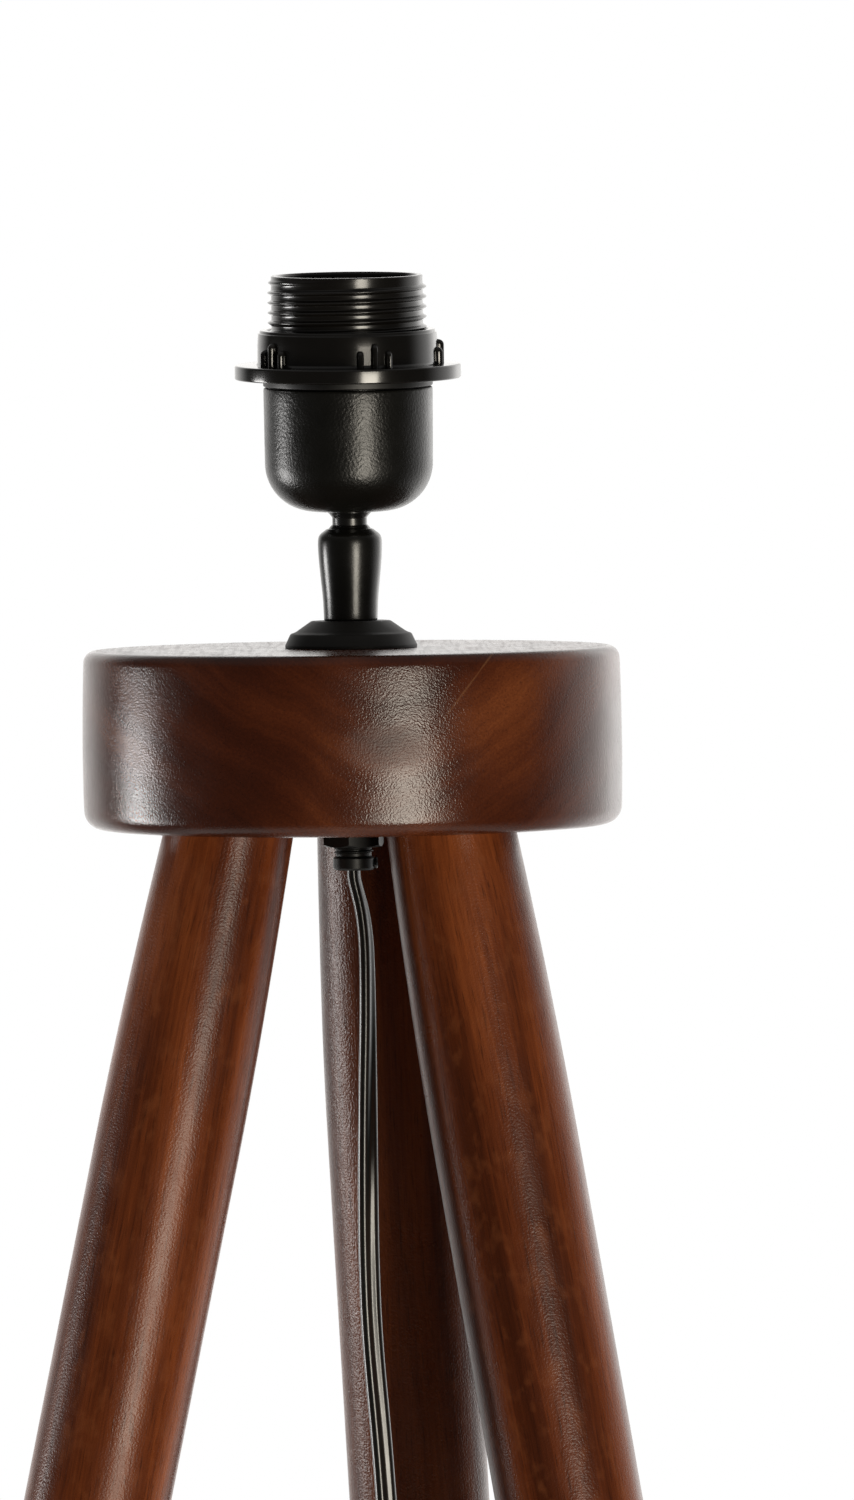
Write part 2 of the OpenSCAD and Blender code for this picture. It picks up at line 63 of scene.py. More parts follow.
ON_AXIS = Matrix.Translation((0, AXIS_Y, DISC_TOP))
ON_FLOOR = Matrix.Translation((0, AXIS_Y, 0))
IN_HEAD = (Matrix.Translation((0, AXIS_Y, DISC_TOP + BALL_H))
           @ Matrix.Rotation(rad(TILT), 4, Vector((math.cos(rad(TILT_DIR)), math.sin(rad(TILT_DIR)), 0)))
           @ Matrix.Translation((0, 0, -BALL_H)))


def on_leg(a):
    return (Matrix.Translation((0, AXIS_Y, DISC_BOTTOM)) @ Matrix.Rotation(rad(a), 4, "Z")
            @ Matrix.Translation((LEG_R, 0, 0)) @ Matrix.Rotation(rad(-SPLAY), 4, "Y"))


# ---- camera -------------------------------------------------------------------
CAM_AZ, CAM_D, CAM_H, CAM_ROLL = 12.0, 2.60, 0.076, -0.012
F_PX = 10400.0
AIM = (351.2, 647.7)


def make_camera():
    p = Vector((0, AXIS_Y, DISC_TOP)) / 1000
    c = p + Vector((math.sin(rad(CAM_AZ)) * CAM_D, -math.cos(rad(CAM_AZ)) * CAM_D, CAM_H))
    yaw, pitch = rad(CAM_AZ), 0.0
    for _ in range(12):
        f = Vector((-math.sin(yaw) * math.cos(pitch), math.cos(yaw) * math.cos(pitch), math.sin(pitch)))
        r0 = Vector((math.cos(yaw), math.sin(yaw), 0))
        u0 = r0.cross(f)
        r = r0 * math.cos(CAM_ROLL) + u0 * math.sin(CAM_ROLL)
        u = u0 * math.cos(CAM_ROLL) - r0 * math.sin(CAM_ROLL)
        v = p - c
        x = 427 + F_PX * v.dot(r) / v.dot(f)
        y = 750 - F_PX * v.dot(u) / v.dot(f)
        yaw += (AIM[0] - x) / F_PX
        pitch += (AIM[1] - y) / F_PX
    data = bpy.data.cameras.new("camera")
    data.sensor_width = 36
    data.lens = F_PX * 36 / 1500
    data.clip_start, data.clip_end = 0.1, 60
    ob = bpy.data.objects.new("camera", data)
    bpy.context.scene.collection.objects.link(ob)
    m = Matrix((r, u, -f)).transposed().to_4x4()
    ob.matrix_world = Matrix.Translation(c) @ m
    bpy.context.scene.camera = ob


make_camera()

# ---- mesh helpers ---------------------------------------------------------------


def make(name, verts, faces, mats, body, sharp=34, matrix=None, replaces=(),
         face_mat=None, uvs=None, smooth=True):
    """A piece from vertices in millimetres, riding on a body."""
    me = bpy.data.meshes.new(name)
    m = matrix or Matrix.Identity(4)
    me.from_pydata([(m @ Vector(v)) * 0.001 for v in verts], [], faces)
    if not isinstance(mats, (list, tuple)):
        mats = [mats]
    for x in mats:
        me.materials.append(x)
    if face_mat:
        for p, i in zip(me.polygons, face_mat):
            p.material_index = i
    bm = bmesh.new()
    bm.from_mesh(me)
    bmesh.ops.remove_doubles(bm, verts=bm.verts, dist=1e-6)
    bmesh.ops.dissolve_degenerate(bm, edges=bm.edges, dist=1e-7)
    bmesh.ops.recalc_face_normals(bm, faces=bm.faces)
    bm.to_mesh(me)
    bm.free()
    if smooth:
        me.shade_smooth()
        me.set_sharp_from_angle(angle=rad(sharp))
    ob = bpy.data.objects.new(name, me)
    bpy.context.scene.collection.objects.link(ob)
    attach(ob, body)
    if replaces:
        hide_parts(*([replaces] if isinstance(replaces, str) else replaces))
    return ob


def fillet(points, r0=0.0, step=14):
    """Rounds the corners of a closed outline of (x, y) or (x, y, radius)."""
    out = []
    n = len(points)
    for i, p in enumerate(points):
        a, b, c = Vector(points[i - 1][:2]), Vector(p[:2]), Vector(points[(i + 1) % n][:2])
        r = p[2] if len(p) > 2 else r0
        u, v = a - b, c - b
        if r <= 0 or u.length < 1e-6 or v.length < 1e-6:
            out.append(tuple(b))
            continue
        lu, lv = u.length, v.length
        u.normalize()
        v.normalize()
        half = math.acos(max(-1, min(1, u.dot(v)))) / 2
        if half > rad(88) or half < rad(3):
            out.append(tuple(b))
            continue
        t = min(r / math.tan(half), 0.48 * lu, 0.48 * lv)
        rr = t * math.tan(half)
        centre = b + (u + v).normalized() * (rr / math.sin(half))
        s, e = b + u * t - centre, b + v * t - centre
        turn = pi - 2 * half
        k = max(2, int(math.ceil(math.degrees(turn) / step)))
        sign = 1 if s.x * e.y - s.y * e.x > 0 else -1
        for j in range(k + 1):
            w = sign * turn * j / k
            out.append((centre.x + s.x * math.cos(w) - s.y * math.sin(w),
                        centre.y + s.x * math.sin(w) + s.y * math.cos(w)))
    return out


def arc(cx, cy, r, a0, a1, n):
    return [(cx + r * math.cos(rad(a0 + (a1 - a0) * i / n)), cy + r * math.sin(rad(a0 + (a1 - a0) * i / n)))
            for i in range(n + 1)]


def lathe(profile, n=128, warp=None):
    """A closed outline of (radius, height) turned about Z."""
    verts, faces, m = [], [], len(profile)
    for i in range(n):
        a = 2 * pi * i / n
        for r, h in profile:
            rr = max(r, 0)
            if warp and rr > 0:
                rr += warp(a, rr, h)
            verts.append((rr * math.cos(a), rr * math.sin(a), h))
    for i in range(n):
        k = (i + 1) % n
        for j in range(m):
            l = (j + 1) % m
            if profile[j][0] <= 0 and profile[l][0] <= 0:
                continue
            faces.append((i * m + j, k * m + j, k * m + l, i * m + l))
    return verts, faces


def tube(rings, closed=False):
    """Faces of a swept tube of equal rings, with end caps."""
    verts = [v for r in rings for v in r]
    s = len(rings[0])
    faces = []
    for i in range(len(rings) if closed else len(rings) - 1):
        k = (i + 1) % len(rings)
        for j in range(s):
            l = (j + 1) % s
            faces.append((i * s + j, i * s + l, k * s + l, k * s + j))
    if not closed:
        faces.append(tuple(range(s))[::-1])
        faces.append(tuple((len(rings) - 1) * s + j for j in range(s)))
    return verts, faces


def add(parts):
    """Several (verts, faces) as one."""
    verts, faces = [], []
    for v, f in parts:
        b = len(verts)
        verts += v
        faces += [tuple(x + b for x in q) for q in f]
    return verts, faces


def moved(part, m):
    return [tuple(m @ Vector(v)) for v in part[0]], part[1]


def cut(ob, parts, matrix):
    """Takes solids out of a piece, exactly."""
    v, f = add(parts)
    me = bpy.data.meshes.new("cutter")
    me.from_pydata([(matrix @ Vector(x)) * 0.001 for x in v], [], f)
    bm = bmesh.new()
    bm.from_mesh(me)
    bmesh.ops.remove_doubles(bm, verts=bm.verts, dist=1e-6)
    bmesh.ops.recalc_face_normals(bm, faces=bm.faces)
    bm.to_mesh(me)
    bm.free()
    c = bpy.data.objects.new("cutter", me)
    bpy.context.scene.collection.objects.link(c)
    mod = ob.modifiers.new("cut", "BOOLEAN")
    mod.operation, mod.solver, mod.object = "DIFFERENCE", "EXACT", c
    mod.material_mode = "INDEX"
    dg = bpy.context.evaluated_depsgraph_get()
    new = bpy.data.meshes.new_from_object(ob.evaluated_get(dg), depsgraph=dg)
    ob.modifiers.clear()
    old = ob.data
    ob.data = new
    new.name = old.name + "_cut"
    bpy.data.meshes.remove(old)
    bpy.data.objects.remove(c)
    bpy.data.meshes.remove(me)
    ob.data.shade_smooth()
    ob.data.set_sharp_from_angle(angle=rad(30))
    return ob


def rod(r, z0, z1, n=32):
    return lathe([(0, z0), (r, z0), (r, z1), (0, z1)], n)


def catmull(points, n):
    """Points of equal-length tuples, n to a span, as the CAD's route()."""
    out = []
    m = len(points)
    for i in range(m - 1):
        a, b, c, d = points[max(i - 1, 0)], points[i], points[i + 1], points[min(i + 2, m - 1)]
        for k in range(n):
            t = k / n
            out.append(tuple(0.5 * (2 * q + (r - p) * t + (2 * p - 5 * q + 4 * r - s) * t * t
                                    + (3 * q - p - 3 * r + s) * t ** 3) for p, q, r, s in zip(a, b, c, d)))
    out.append(points[-1])
    return out


# ---- material helpers -------------------------------------------------------------


class Mat:
    def __init__(self, name, color=(0.5, 0.5, 0.5), rough=0.5, metal=0.0, ior=1.5, coat=0.0, coat_rough=0.1,
                 spec=0.5, sheen=0.0):
        self.m = bpy.data.materials.new(name)
        self.m.use_nodes = True
        self.t = self.m.node_tree
        self.b = self.t.nodes["Principled BSDF"]
        i = self.b.inputs
        i["Base Color"].default_value = (*color, 1)
        i["Roughness"].default_value = rough
        i["Metallic"].default_value = metal
        i["IOR"].default_value = ior
        i["Specular IOR Level"].default_value = spec
        i["Coat Weight"].default_value = coat
        i["Coat Roughness"].default_value = coat_rough
        i["Sheen Weight"].default_value = sheen
        self.m.diffuse_color = (*color, 1)

    def node(self, kind, inputs=None, **attrs):
        n = self.t.nodes.new("ShaderNode" + kind)
        for k, v in attrs.items():
            setattr(n, k, v)
        for k, v in (inputs or {}).items():
            s = n.inputs[k]
            if isinstance(v, bpy.types.NodeSocket):
                self.t.links.new(v, s)
            else:
                s.default_value = v
        return n

    def coords(self, matrix=None, scale=(1, 1, 1)):
        """Object coordinates in a local frame (metres), then scaled."""
        v = self.node("TexCoord").outputs["Object"]
        if matrix is not None:
            inv = matrix.inverted()
            loc, rot, _ = inv.decompose()
            v = self.node("Mapping", {"Vector": v, "Location": loc * 0.001, "Rotation": rot.to_euler("XYZ")}).outputs[0]
        if scale != (1, 1, 1):
            v = self.scaled(v, scale)
        return v

    def scaled(self, v, scale):
        return self.node("Mapping", {"Vector": v, "Scale": scale}).outputs[0]

    def noise(self, v, scale, detail=2.0, rough=0.5, dist=0.0, lac=2.0):
        return self.node("TexNoise", {"Vector": v, "Scale": scale, "Detail": detail, "Roughness": rough,
                                      "Distortion": dist, "Lacunarity": lac})

    def math(self, op, a, b=0.0, c=None, clamp=False):
        n = self.node("Math", operation=op, use_clamp=clamp)
        for i, x in enumerate((a, b, c)):
            if x is None:
                continue
            if isinstance(x, bpy.types.NodeSocket):
                self.t.links.new(x, n.inputs[i])
            else:
                n.inputs[i].default_value = x
        return n.outputs[0]

    def remap(self, v, a, b, c, d, kind="LINEAR"):
        return self.node("MapRange", {"Value": v, "From Min": a, "From Max": b, "To Min": c, "To Max": d},
                         interpolation_type=kind).outputs[0]

    def ramp(self, fac, stops, mode="LINEAR"):
        n = self.node("ValToRGB", {"Fac": fac})
        r = n.color_ramp
        r.interpolation = mode
        while len(r.elements) < len(stops):
            r.elements.new(0.5)
        for e, (p, c) in zip(r.elements, stops):
            e.position = p
            e.color = (*c, 1)
        return n.outputs["Color"]

    def mix(self, fac, a, b, mode="MIX"):
        n = self.node("Mix", data_type="RGBA", blend_type=mode)
        for k, x in ((0, fac), (6, a), (7, b)):
            if isinstance(x, bpy.types.NodeSocket):
                self.t.links.new(x, n.inputs[k])
            elif k == 0:
                n.inputs[k].default_value = x
            else:
                n.inputs[k].default_value = (*x, 1) if len(x) == 3 else x
        return n.outputs[2]

    def bump(self, height, distance, strength=1.0, normal=None):
        ins = {"Height": height, "Distance": distance, "Strength": strength}
        if normal:
            ins["Normal"] = normal
        return self.node("Bump", ins).outputs[0]

    def set(self, name, socket):
        self.t.links.new(socket, self.b.inputs[name])
        return self


WOOD = [(0.0, (0.038, 0.0082, 0.0026)), (0.30, (0.076, 0.0165, 0.0046)), (0.52, (0.128, 0.0290, 0.0074)),
        (0.74, (0.195, 0.0480, 0.0120)), (1.0, (0.290, 0.0760, 0.0190))]
WOOD_DISC = [(0.0, (0.022, 0.0046, 0.0017)), (0.30, (0.044, 0.0092, 0.0030)), (0.55, (0.076, 0.0170, 0.0050)),
             (0.80, (0.128, 0.0320, 0.0088)), (1.0, (0.185, 0.0500, 0.0135))]


def wood_finish(k, v, fine, gloss, peel_scale, peel_depth, wave_depth, dull=None):
    """Satin lacquer: uneven gloss, orange peel over the grain, a slow ripple."""
    g = k.remap(k.noise(v, 75.0, 3.0, 0.6).outputs["Fac"], 0.3, 0.7, gloss[0], gloss[1])
    if dull:
        g = k.math("ADD", g, dull)
    k.set("Roughness", g)
    peel = k.noise(v, peel_scale, 1.0, 0.5).outputs["Fac"]
    h = k.math("MULTIPLY_ADD", fine, 0.30, peel)
    n1 = k.bump(k.noise(v, 120.0, 1.0, 0.5).outputs["Fac"], wave_depth)
    k.set("Normal", k.bump(h, peel_depth, 1.0, n1))


def wood_disc_material(name, matrix, top=False):
    """Stained hardwood, the board's growth rings seen as wide arcs on the rim."""
    k = Mat(name, (0.056, 0.013, 0.0046), 0.26, spec=0.5 if top else 0.43)
    v = k.coords(matrix)
    drift = k.node("VectorMath", {0: k.noise(v, 22.0, 3.0, 0.55).outputs["Color"], 1: (0.5, 0.5, 0.5)},
                   operation="SUBTRACT").outputs[0]
    p = k.node("VectorMath", {0: drift, 1: (0.016, 0.016, 0.016), 2: v}, operation="MULTIPLY_ADD").outputs[0]
    xyz = k.node("SeparateXYZ", {0: p})
    x, y, z = xyz.outputs
    u = k.math("SUBTRACT", x, 0.0062)
    u = k.math("MULTIPLY", u, 0.86)
    r = k.math("SQRT", k.math("ADD", k.math("MULTIPLY", u, u), 0.000100))
    f = k.math("SUBTRACT", z, r)
    line = k.node("CombineXYZ", {0: f, 1: k.math("MULTIPLY", y, 0.10), 2: k.math("MULTIPLY", x, 0.12)}).outputs[0]
    wide = k.noise(line, 62.0, 2.0, 0.5).outputs["Fac"]
    mid = k.noise(line, 330.0, 2.0, 0.5).outputs["Fac"]
    thin = k.noise(line, 1500.0, 2.0, 0.6).outputs["Fac"]
    cloud = k.noise(p, 24.0, 2.0, 0.5).outputs["Fac"]
    fleck = k.noise(k.scaled(v, (1, 0.25, 1)), 1700.0, 2.0, 0.6).outputs["Fac"]
    t = k.math("MULTIPLY", wide, 0.98)
    t = k.math("MULTIPLY_ADD", mid, 0.17, t)
    t = k.math("MULTIPLY_ADD", thin, 0.16, t)
    t = k.math("MULTIPLY_ADD", cloud, 0.50, t)
    t = k.math("MULTIPLY_ADD", fleck, 0.30, t)
    # the two paler figures either side of the arcs' middle
    raw = k.node("SeparateXYZ", {0: v}).outputs
    for cx, cz, rx, rz, a in ((-0.010, -0.014, 0.013, 0.018, 0.16), (0.034, -0.014, 0.010, 0.016, 0.22),
                              (-0.032, -0.024, 0.018, 0.030, -0.12)):
        dx = k.math("DIVIDE", k.math("SUBTRACT", x, cx), rx)
        dzz = k.math("DIVIDE", k.math("SUBTRACT", z, cz), rz)
        d = k.math("ADD", k.math("MULTIPLY", dx, dx), k.math("MULTIPLY", dzz, dzz))
        t = k.math("ADD", t, k.remap(d, 0.0, 2.2, a, 0.0, "SMOOTHSTEP"))
    t = k.remap(t, 0.68, 1.48, 0.0, 1.0)
    color = k.ramp(t, WOOD_DISC)
    # a fine pale joint line across the front
    edge = k.math("ABSOLUTE", k.math("SUBTRACT", k.math("SUBTRACT", k.math("MULTIPLY", raw[0], 0.789),
                                                        k.math("MULTIPLY", raw[2], 0.615)), 0.0274))
    edge = k.math("ADD", edge, k.math("MULTIPLY", k.math("SUBTRACT", mid, 0.5), 0.0006))
    m = k.remap(edge, 0.00008, 0.00034, 0.42, 0.0, "SMOOTHSTEP")
    m = k.math("MULTIPLY", m, k.remap(raw[2], -0.017, -0.012, 0.0, 1.0))
    m = k.math("MULTIPLY", m, k.remap(raw[1], 0.0, 0.004, 1.0, 0.0))
    color = k.mix(m, color, (0.20, 0.085, 0.035))
    pores = k.noise(k.scaled(v, (1, 0.12, 1)), 2600.0, 1.0, 0.5).outputs["Fac"]
    color = k.mix(k.remap(pores, 0.62, 0.74, 0.0, 0.40), color, (0.014, 0.0035, 0.0018))
    k.set("Base Color", color)
    fine = k.math("MULTIPLY_ADD", thin, 0.6, pores)
    if top:
        streak = k.noise(k.scaled(v, (700, 30, 700)), 1.0, 3.0, 0.6).outputs["Fac"]
        wood_finish(k, v, fine, (0.24, 0.30), 1300.0, 0.000005, 0.00001, k.remap(streak, 0.45, 0.75, 0.0, 0.10))
    else:
        # the lacquer is thinner and duller in a band half way up the front
        dx = k.math("DIVIDE", k.math("SUBTRACT", raw[0], 0.008), 0.010)
        dzz = k.math("DIVIDE", k.math("SUBTRACT", raw[2], -0.0225), 0.0055)
        d = k.math("ADD", k.math("MULTIPLY", dx, dx), k.math("MULTIPLY", dzz, dzz))
        wood_finish(k, v, fine, (0.19, 0.26), 2100.0, 0.000066, 0.00005, k.remap(d, 0.1, 1.8, 0.17, 0.0, "SMOOTHSTEP"))
    return k.m


def wood(name, matrix, seed, shade_darkening=0.0, peel=0.000080):
    """Stained hardwood with the grain along a leg's local Z; the argument after seed darkens the whole leg's colour as
    painted shade, peel is the lacquer's grain.
    """
    k = Mat(name, (0.062, 0.015, 0.005), 0.3, spec=0.24)
    v = k.coords(matrix)

    def stretch(s, a):
        return (s, s, a)

    drift = k.noise(k.scaled(v, stretch(14, 3)), 1.0, 2.0, 0.5).outputs["Color"]
    drift = k.node("VectorMath", {0: drift, 1: (0.5, 0.5, 0.5)}, operation="SUBTRACT").outputs[0]
    p = k.node("VectorMath", {0: drift, 1: (0.016, 0.016, 0.016), 2: v}, operation="MULTIPLY_ADD").outputs[0]
    q = k.node("Mapping", {"Vector": p, "Location": (0.022 + 0.004 * seed, 0.014 - 0.003 * seed, 0),
                           "Rotation": (rad(0.5), rad(-0.4), 0)}).outputs[0]
    rings = k.node("TexWave", {"Vector": k.scaled(q, (1, 1, 0.03)), "Scale": 34.0, "Distortion": 4.0, "Detail": 3.0,
                               "Detail Scale": 1.5, "Detail Roughness": 0.55, "Phase Offset": seed * 1.7},
                   wave_type="RINGS", rings_direction="Z", wave_profile="SIN").outputs["Fac"]
    bands = k.noise(k.scaled(p, stretch(85, 4.5)), 1.0, 3.0, 0.55).outputs["Fac"]
    cloud = k.noise(k.scaled(p, stretch(22, 8)), 1.0, 2.0, 0.5).outputs["Fac"]
    fibre = k.noise(k.scaled(p, stretch(900, 26)), 1.0, 4.0, 0.65).outputs["Fac"]
    pores = k.noise(k.scaled(p, stretch(2300, 130)), 1.0, 1.0, 0.5).outputs["Fac"]
    f = k.math("MULTIPLY", rings, 0.20)
    f = k.math("MULTIPLY_ADD", bands, 0.62, f)
    f = k.math("MULTIPLY_ADD", cloud, 0.62, f)
    f = k.math("MULTIPLY_ADD", fibre, 0.46, f)
    f = k.remap(f, 0.62, 1.28, 0.0, 1.0)
    color = k.ramp(f, WOOD)
    color = k.mix(k.remap(pores, 0.60, 0.72, 0.0, 0.45), color, (0.016, 0.004, 0.002))
    fleck = k.noise(k.scaled(p, (240, 240, 150)), 1.0, 2.0, 0.6).outputs["Fac"]
    color = k.mix(k.remap(fleck, 0.52, 0.72, 0.0, 0.34), color, (0.20, 0.060, 0.020))
    # painted shade: the whole leg's colour is mixed towards near black
    if shade_darkening:
        color = k.mix(shade_darkening, color, (0.012, 0.0028, 0.0012))
    k.set("Base Color", color)
    wood_finish(k, v, k.math("MULTIPLY_ADD", fibre, 1.2, pores), (0.25, 0.34), 1800.0, peel, 0.00005)
    return k.m


def plastic(name, color, rough, grain=0.0, scale=1400.0, wave=0.00002, spread=0.04, ior=1.55, tone=0.25):
    """Moulded or painted surface: slight tone and gloss changes, fine grain and a slow ripple."""
    k = Mat(name, color, rough, ior=ior)
    v = k.coords()
    c = k.noise(v, 45.0, 3.0, 0.6).outputs["Fac"]
    lo = tuple(x * (1 - tone) for x in color)
    hi = tuple(x * (1 + tone) for x in color)
    k.set("Base Color", k.ramp(c, [(0.3, lo), (0.7, hi)]))
    k.set("Roughness", k.remap(k.noise(v, 160.0, 4.0, 0.65).outputs["Fac"], 0.3, 0.7, rough - spread, rough + spread))
    n = k.bump(k.noise(v, 90.0, 1.0, 0.5).outputs["Fac"], wave)
    if grain:
        n = k.bump(k.noise(v, scale, 2.0, 0.55).outputs["Fac"], grain, 1.0, n)
    k.set("Normal", n)
    return k.m


def metal(name, color, rough, scratch=True, spread=0.06, tarnish=None):
    k = Mat(name, color, rough, metal=1.0)
    v = k.coords()
    c = k.noise(v, 220.0, 4.0, 0.6).outputs["Fac"]
    lo = tarnish or tuple(x * 0.72 for x in color)
    k.set("Base Color", k.ramp(c, [(0.30, lo), (0.62, color)]))
    k.set("Roughness", k.remap(k.noise(v, 500.0, 4.0, 0.7).outputs["Fac"], 0.3, 0.7, rough - spread, rough + spread))
    if scratch:
        k.set("Normal", k.bump(k.noise(k.scaled(v, (2500, 2500, 180)), 1.0, 2.0, 0.5).outputs["Fac"], 0.000003))
    return k.m


black_gloss = plastic("black gloss moulding", (0.0046, 0.0040, 0.0033), 0.16, 0.0, wave=0.000002, ior=1.6, spread=0.02)
black_satin = plastic("black textured moulding", (0.0052, 0.0050, 0.0042), 0.30, 0.000092, 1400.0, 0.00001, ior=1.44)
black_sleeve = plastic("black glossy thread", (0.0050, 0.0042, 0.0034), 0.20, 0.0, wave=0.000002, ior=1.55, spread=0.02)
black_paint = plastic("black painted tube", (0.0052, 0.0049, 0.0040), 0.265, 0.000012, 1300.0, 0.000020, ior=1.5)
black_cap = plastic("black painted cap", (0.0118, 0.0107, 0.0090), 0.55, 0.000020, 1700.0, 0.000008, ior=1.45)
black_metal = plastic("black plated steel", (0.0045, 0.0043, 0.0042), 0.27, 0.000012, 1500.0, 0.000010, ior=1.55)
insert_brown = plastic("dark phenolic", (0.012, 0.0075, 0.0052), 0.34, 0.000004, 1500.0)
pvc = plastic("black pvc lead", (0.0058, 0.0064, 0.0056), 0.23, 0.0, wave=0.000003, spread=0.03)
black_dull = plastic("black dull moulding", (0.0032, 0.0031, 0.0030), 0.44, 0.000006, 1500.0, 0.000005, ior=1.45)
switch_black = plastic("switch moulding", (0.0065, 0.0065, 0.0068), 0.38, 0.000012, 1100.0)
button_black = plastic("switch button", (0.010, 0.010, 0.0105), 0.30, 0.000005, 1300.0)
plug_black = plastic("plug moulding", (0.0060, 0.0060, 0.0063), 0.36, 0.000010, 1200.0)
glide_black = plastic("felted glide", (0.018, 0.0175, 0.017), 0.68, 0.00003, 1500.0)
nylon = plastic("nylon", (0.62, 0.60, 0.53), 0.42, 0.000004, 900.0, tone=0.05)
wire_brown = plastic("wire insulation", (0.085, 0.035, 0.016), 0.4, 0.000002)
zinc = metal("zinc plated steel", (0.62, 0.63, 0.64), 0.34)
brass = metal("brass", (0.66, 0.46, 0.17), 0.28, tarnish=(0.40, 0.25, 0.08))
spring_steel = metal("spring steel", (0.46, 0.46, 0.47), 0.30)
nickel = metal("nickel plate", (0.66, 0.64, 0.60), 0.22)


def strap_material():
    k = Mat("hook and loop strap", (0.012, 0.012, 0.013), 0.85, sheen=0.4)
    v = k.coords()
    f = k.noise(v, 2600.0, 3.0, 0.7)
    k.set("Base Color", k.ramp(f.outputs["Fac"], [(0.3, (0.004, 0.004, 0.0045)), (0.7, (0.026, 0.026, 0.028))]))
    w = k.node("TexWave", {"Vector": v, "Scale": 260.0, "Distortion": 1.5}, bands_direction="Y").outputs["Fac"]
    k.set("Normal", k.bump(k.math("ADD", f.outputs["Fac"], k.math("MULTIPLY", w, 0.6)), 0.00018))
    return k.m


strap_black = strap_material()

# ---- the lead: one stretch from the grip to the foot switch, one from there to the plug --


def dz(k):
    return 100 + (EXIT_Z - 100) * k


DROP = [
    (0, 0, EXIT_Z, -88), (0.15, 0, EXIT_Z - 2.5, -89), (0.95, 0.2, EXIT_Z - 6, -91),
    (1.75, 0.35, EXIT_Z - 9.5, -94), (2.35, 0.5, EXIT_Z - 13.5, -97), (2.8, 0.6, EXIT_Z - 19, -100),
    (2.95, 0.65, EXIT_Z - 27, -104), (2.95, 0.6, EXIT_Z - 40, -112), (2.75, 0.4, EXIT_Z - 58, -128),
    (2.6, 0.2, EXIT_Z - 80, -144), (2.7, 0, EXIT_Z - 100, -150), (3.5, -0.2, EXIT_Z - 120, -150),
    (6.3, -0.4, EXIT_Z - 157, -146),
    (10.3, 0, dz(0.78), -140), (12.4, 0.8, dz(0.67), -132), (13.4, 1.2, dz(0.56), -124),
    (14.2, 1.4, dz(0.45), -116), (15.4, 1.2, dz(0.34), -108), (17, 0.4, dz(0.23), -100),
    (19, -0.8, dz(0.14), -94), (21.5, -2.4, dz(0.06), -90),
    (25, -4.4, 92, -90), (33, -7.6, 60, -90), (46, -12, 32, -90),
    (63, -20, 12, -100), (80, -33, 3, -125), (91, -52, 1.8, -160),
    (91, -74, 1.8, -195), (80, -92, 2.2, -235), (64, -102, 3.6, -256),
    (50, -105, 5.6, -270), (44, -105, 6, -270), (36, -105, 6, -270)]
TAIL = [
    (-76, -105, 6, 90, 0), (-84, -105, 6, 90, 0), (-92, -105, 5.4, 88, 0), (-104, -101.6, 3, 66, 0),
    (-113.6, -94, 1.8, 42, 5), (-118.8, -84, 1.8, 18, 15), (-120.4, -72, 2, 2, 30),
    (-120.4, -57, 2.5, 0, 50), (-120, -42, 2.9, 0, 70), (-119.8, -28, 3.3, 0, 84),
    (-119.8, -15, 3.3, 0, 90)]
PLUG_ROUTE = [
    (-85, 19.8, 8.8, 90, 90), (-75, 19.8, 8.7, 90, 88), (-64, 19.9, 7.8, 90, 70),
    (-53, 20, 6.6, 90, 40), (-42, 20, 6.6, 90, 10), (-34, 20, 6.9, 90, 0), (-27, 20, 6.9, 90, 0)]


def smooth(t):
    t = max(0.0, min(1.0, t))
    return t * t * (3 - 2 * t)


def coil_points():
    """Six and a quarter turns: in along the lower layer, a short hump up, out along the upper one."""
    out = []
    steps = 30
    last = 6.25
    for i in range(1, int(last * steps)):
        t = i / steps
        if t < 3.0:
            r = 34.8 - 3.2 * t
        elif t < 3.25:
            r = 25.2
        else:
            r = 25.2 + 3.2 * (t - 3.25)
        r -= 0.5 * smooth((t - 2.9) / 0.12) * (1 - smooth((t - 3.15) / 0.15))
        z = 3.3 + 5.5 * smooth((t - 2.97) / 0.24)
        th = rad(180 - 360 * t)
        # hand winding is never quite even
        r += 0.10 * math.sin(5.1 * t) - 0.08 * math.sin(11.3 * t + 1)
        out.append(((COIL_X + r * math.cos(th), COIL_Y + r * math.sin(th), z), (0, 0, 1)))
    return out


def cord_rings(line):
    """Rings of the flat twin lead's section along (point, width direction)."""
    rings, path = [], []
    n = len(line)
    half, lobe = CORD_W / 2, CORD_T / 2 - 0.05
    c = half - lobe
    section = []
    for s in (1, -1):
        for j in range(11):
            a = rad(-128 + 256 * j / 10)
            section.append((s * (c + lobe * math.cos(a)), lobe * math.sin(a) * s))
        section.append((0.0, s * lobe * 0.80))
    for i, (p, w) in enumerate(line):
        p, w = Vector(p), Vector(w)
        d = (Vector(line[min(i + 1, n - 1)][0]) - Vector(line[max(i - 1, 0)][0])).normalized()
        u = (w - d * w.dot(d)).normalized()
        v = d.cross(u)
        rings.append([tuple(p + u * x + v * y) for x, y in section])
        path.append(p)
    return rings, path


def width_dir(a, e=0.0):
    return (math.cos(rad(a)) * math.cos(rad(e)), math.sin(rad(a)) * math.cos(rad(e)), math.sin(rad(e)))


def cord_piece(name, line, replaces):
    rings, path = cord_rings(line)
    v, f = tube(rings)
    ob = make(name, v, f, pvc, "stand", 60, ON_FLOOR, replaces)
    pts = [(ON_FLOOR @ p) * 0.001 for p in path]
    length = sum((b - a).length for a, b in zip(pts, pts[1:]))
    return ob, pts, length


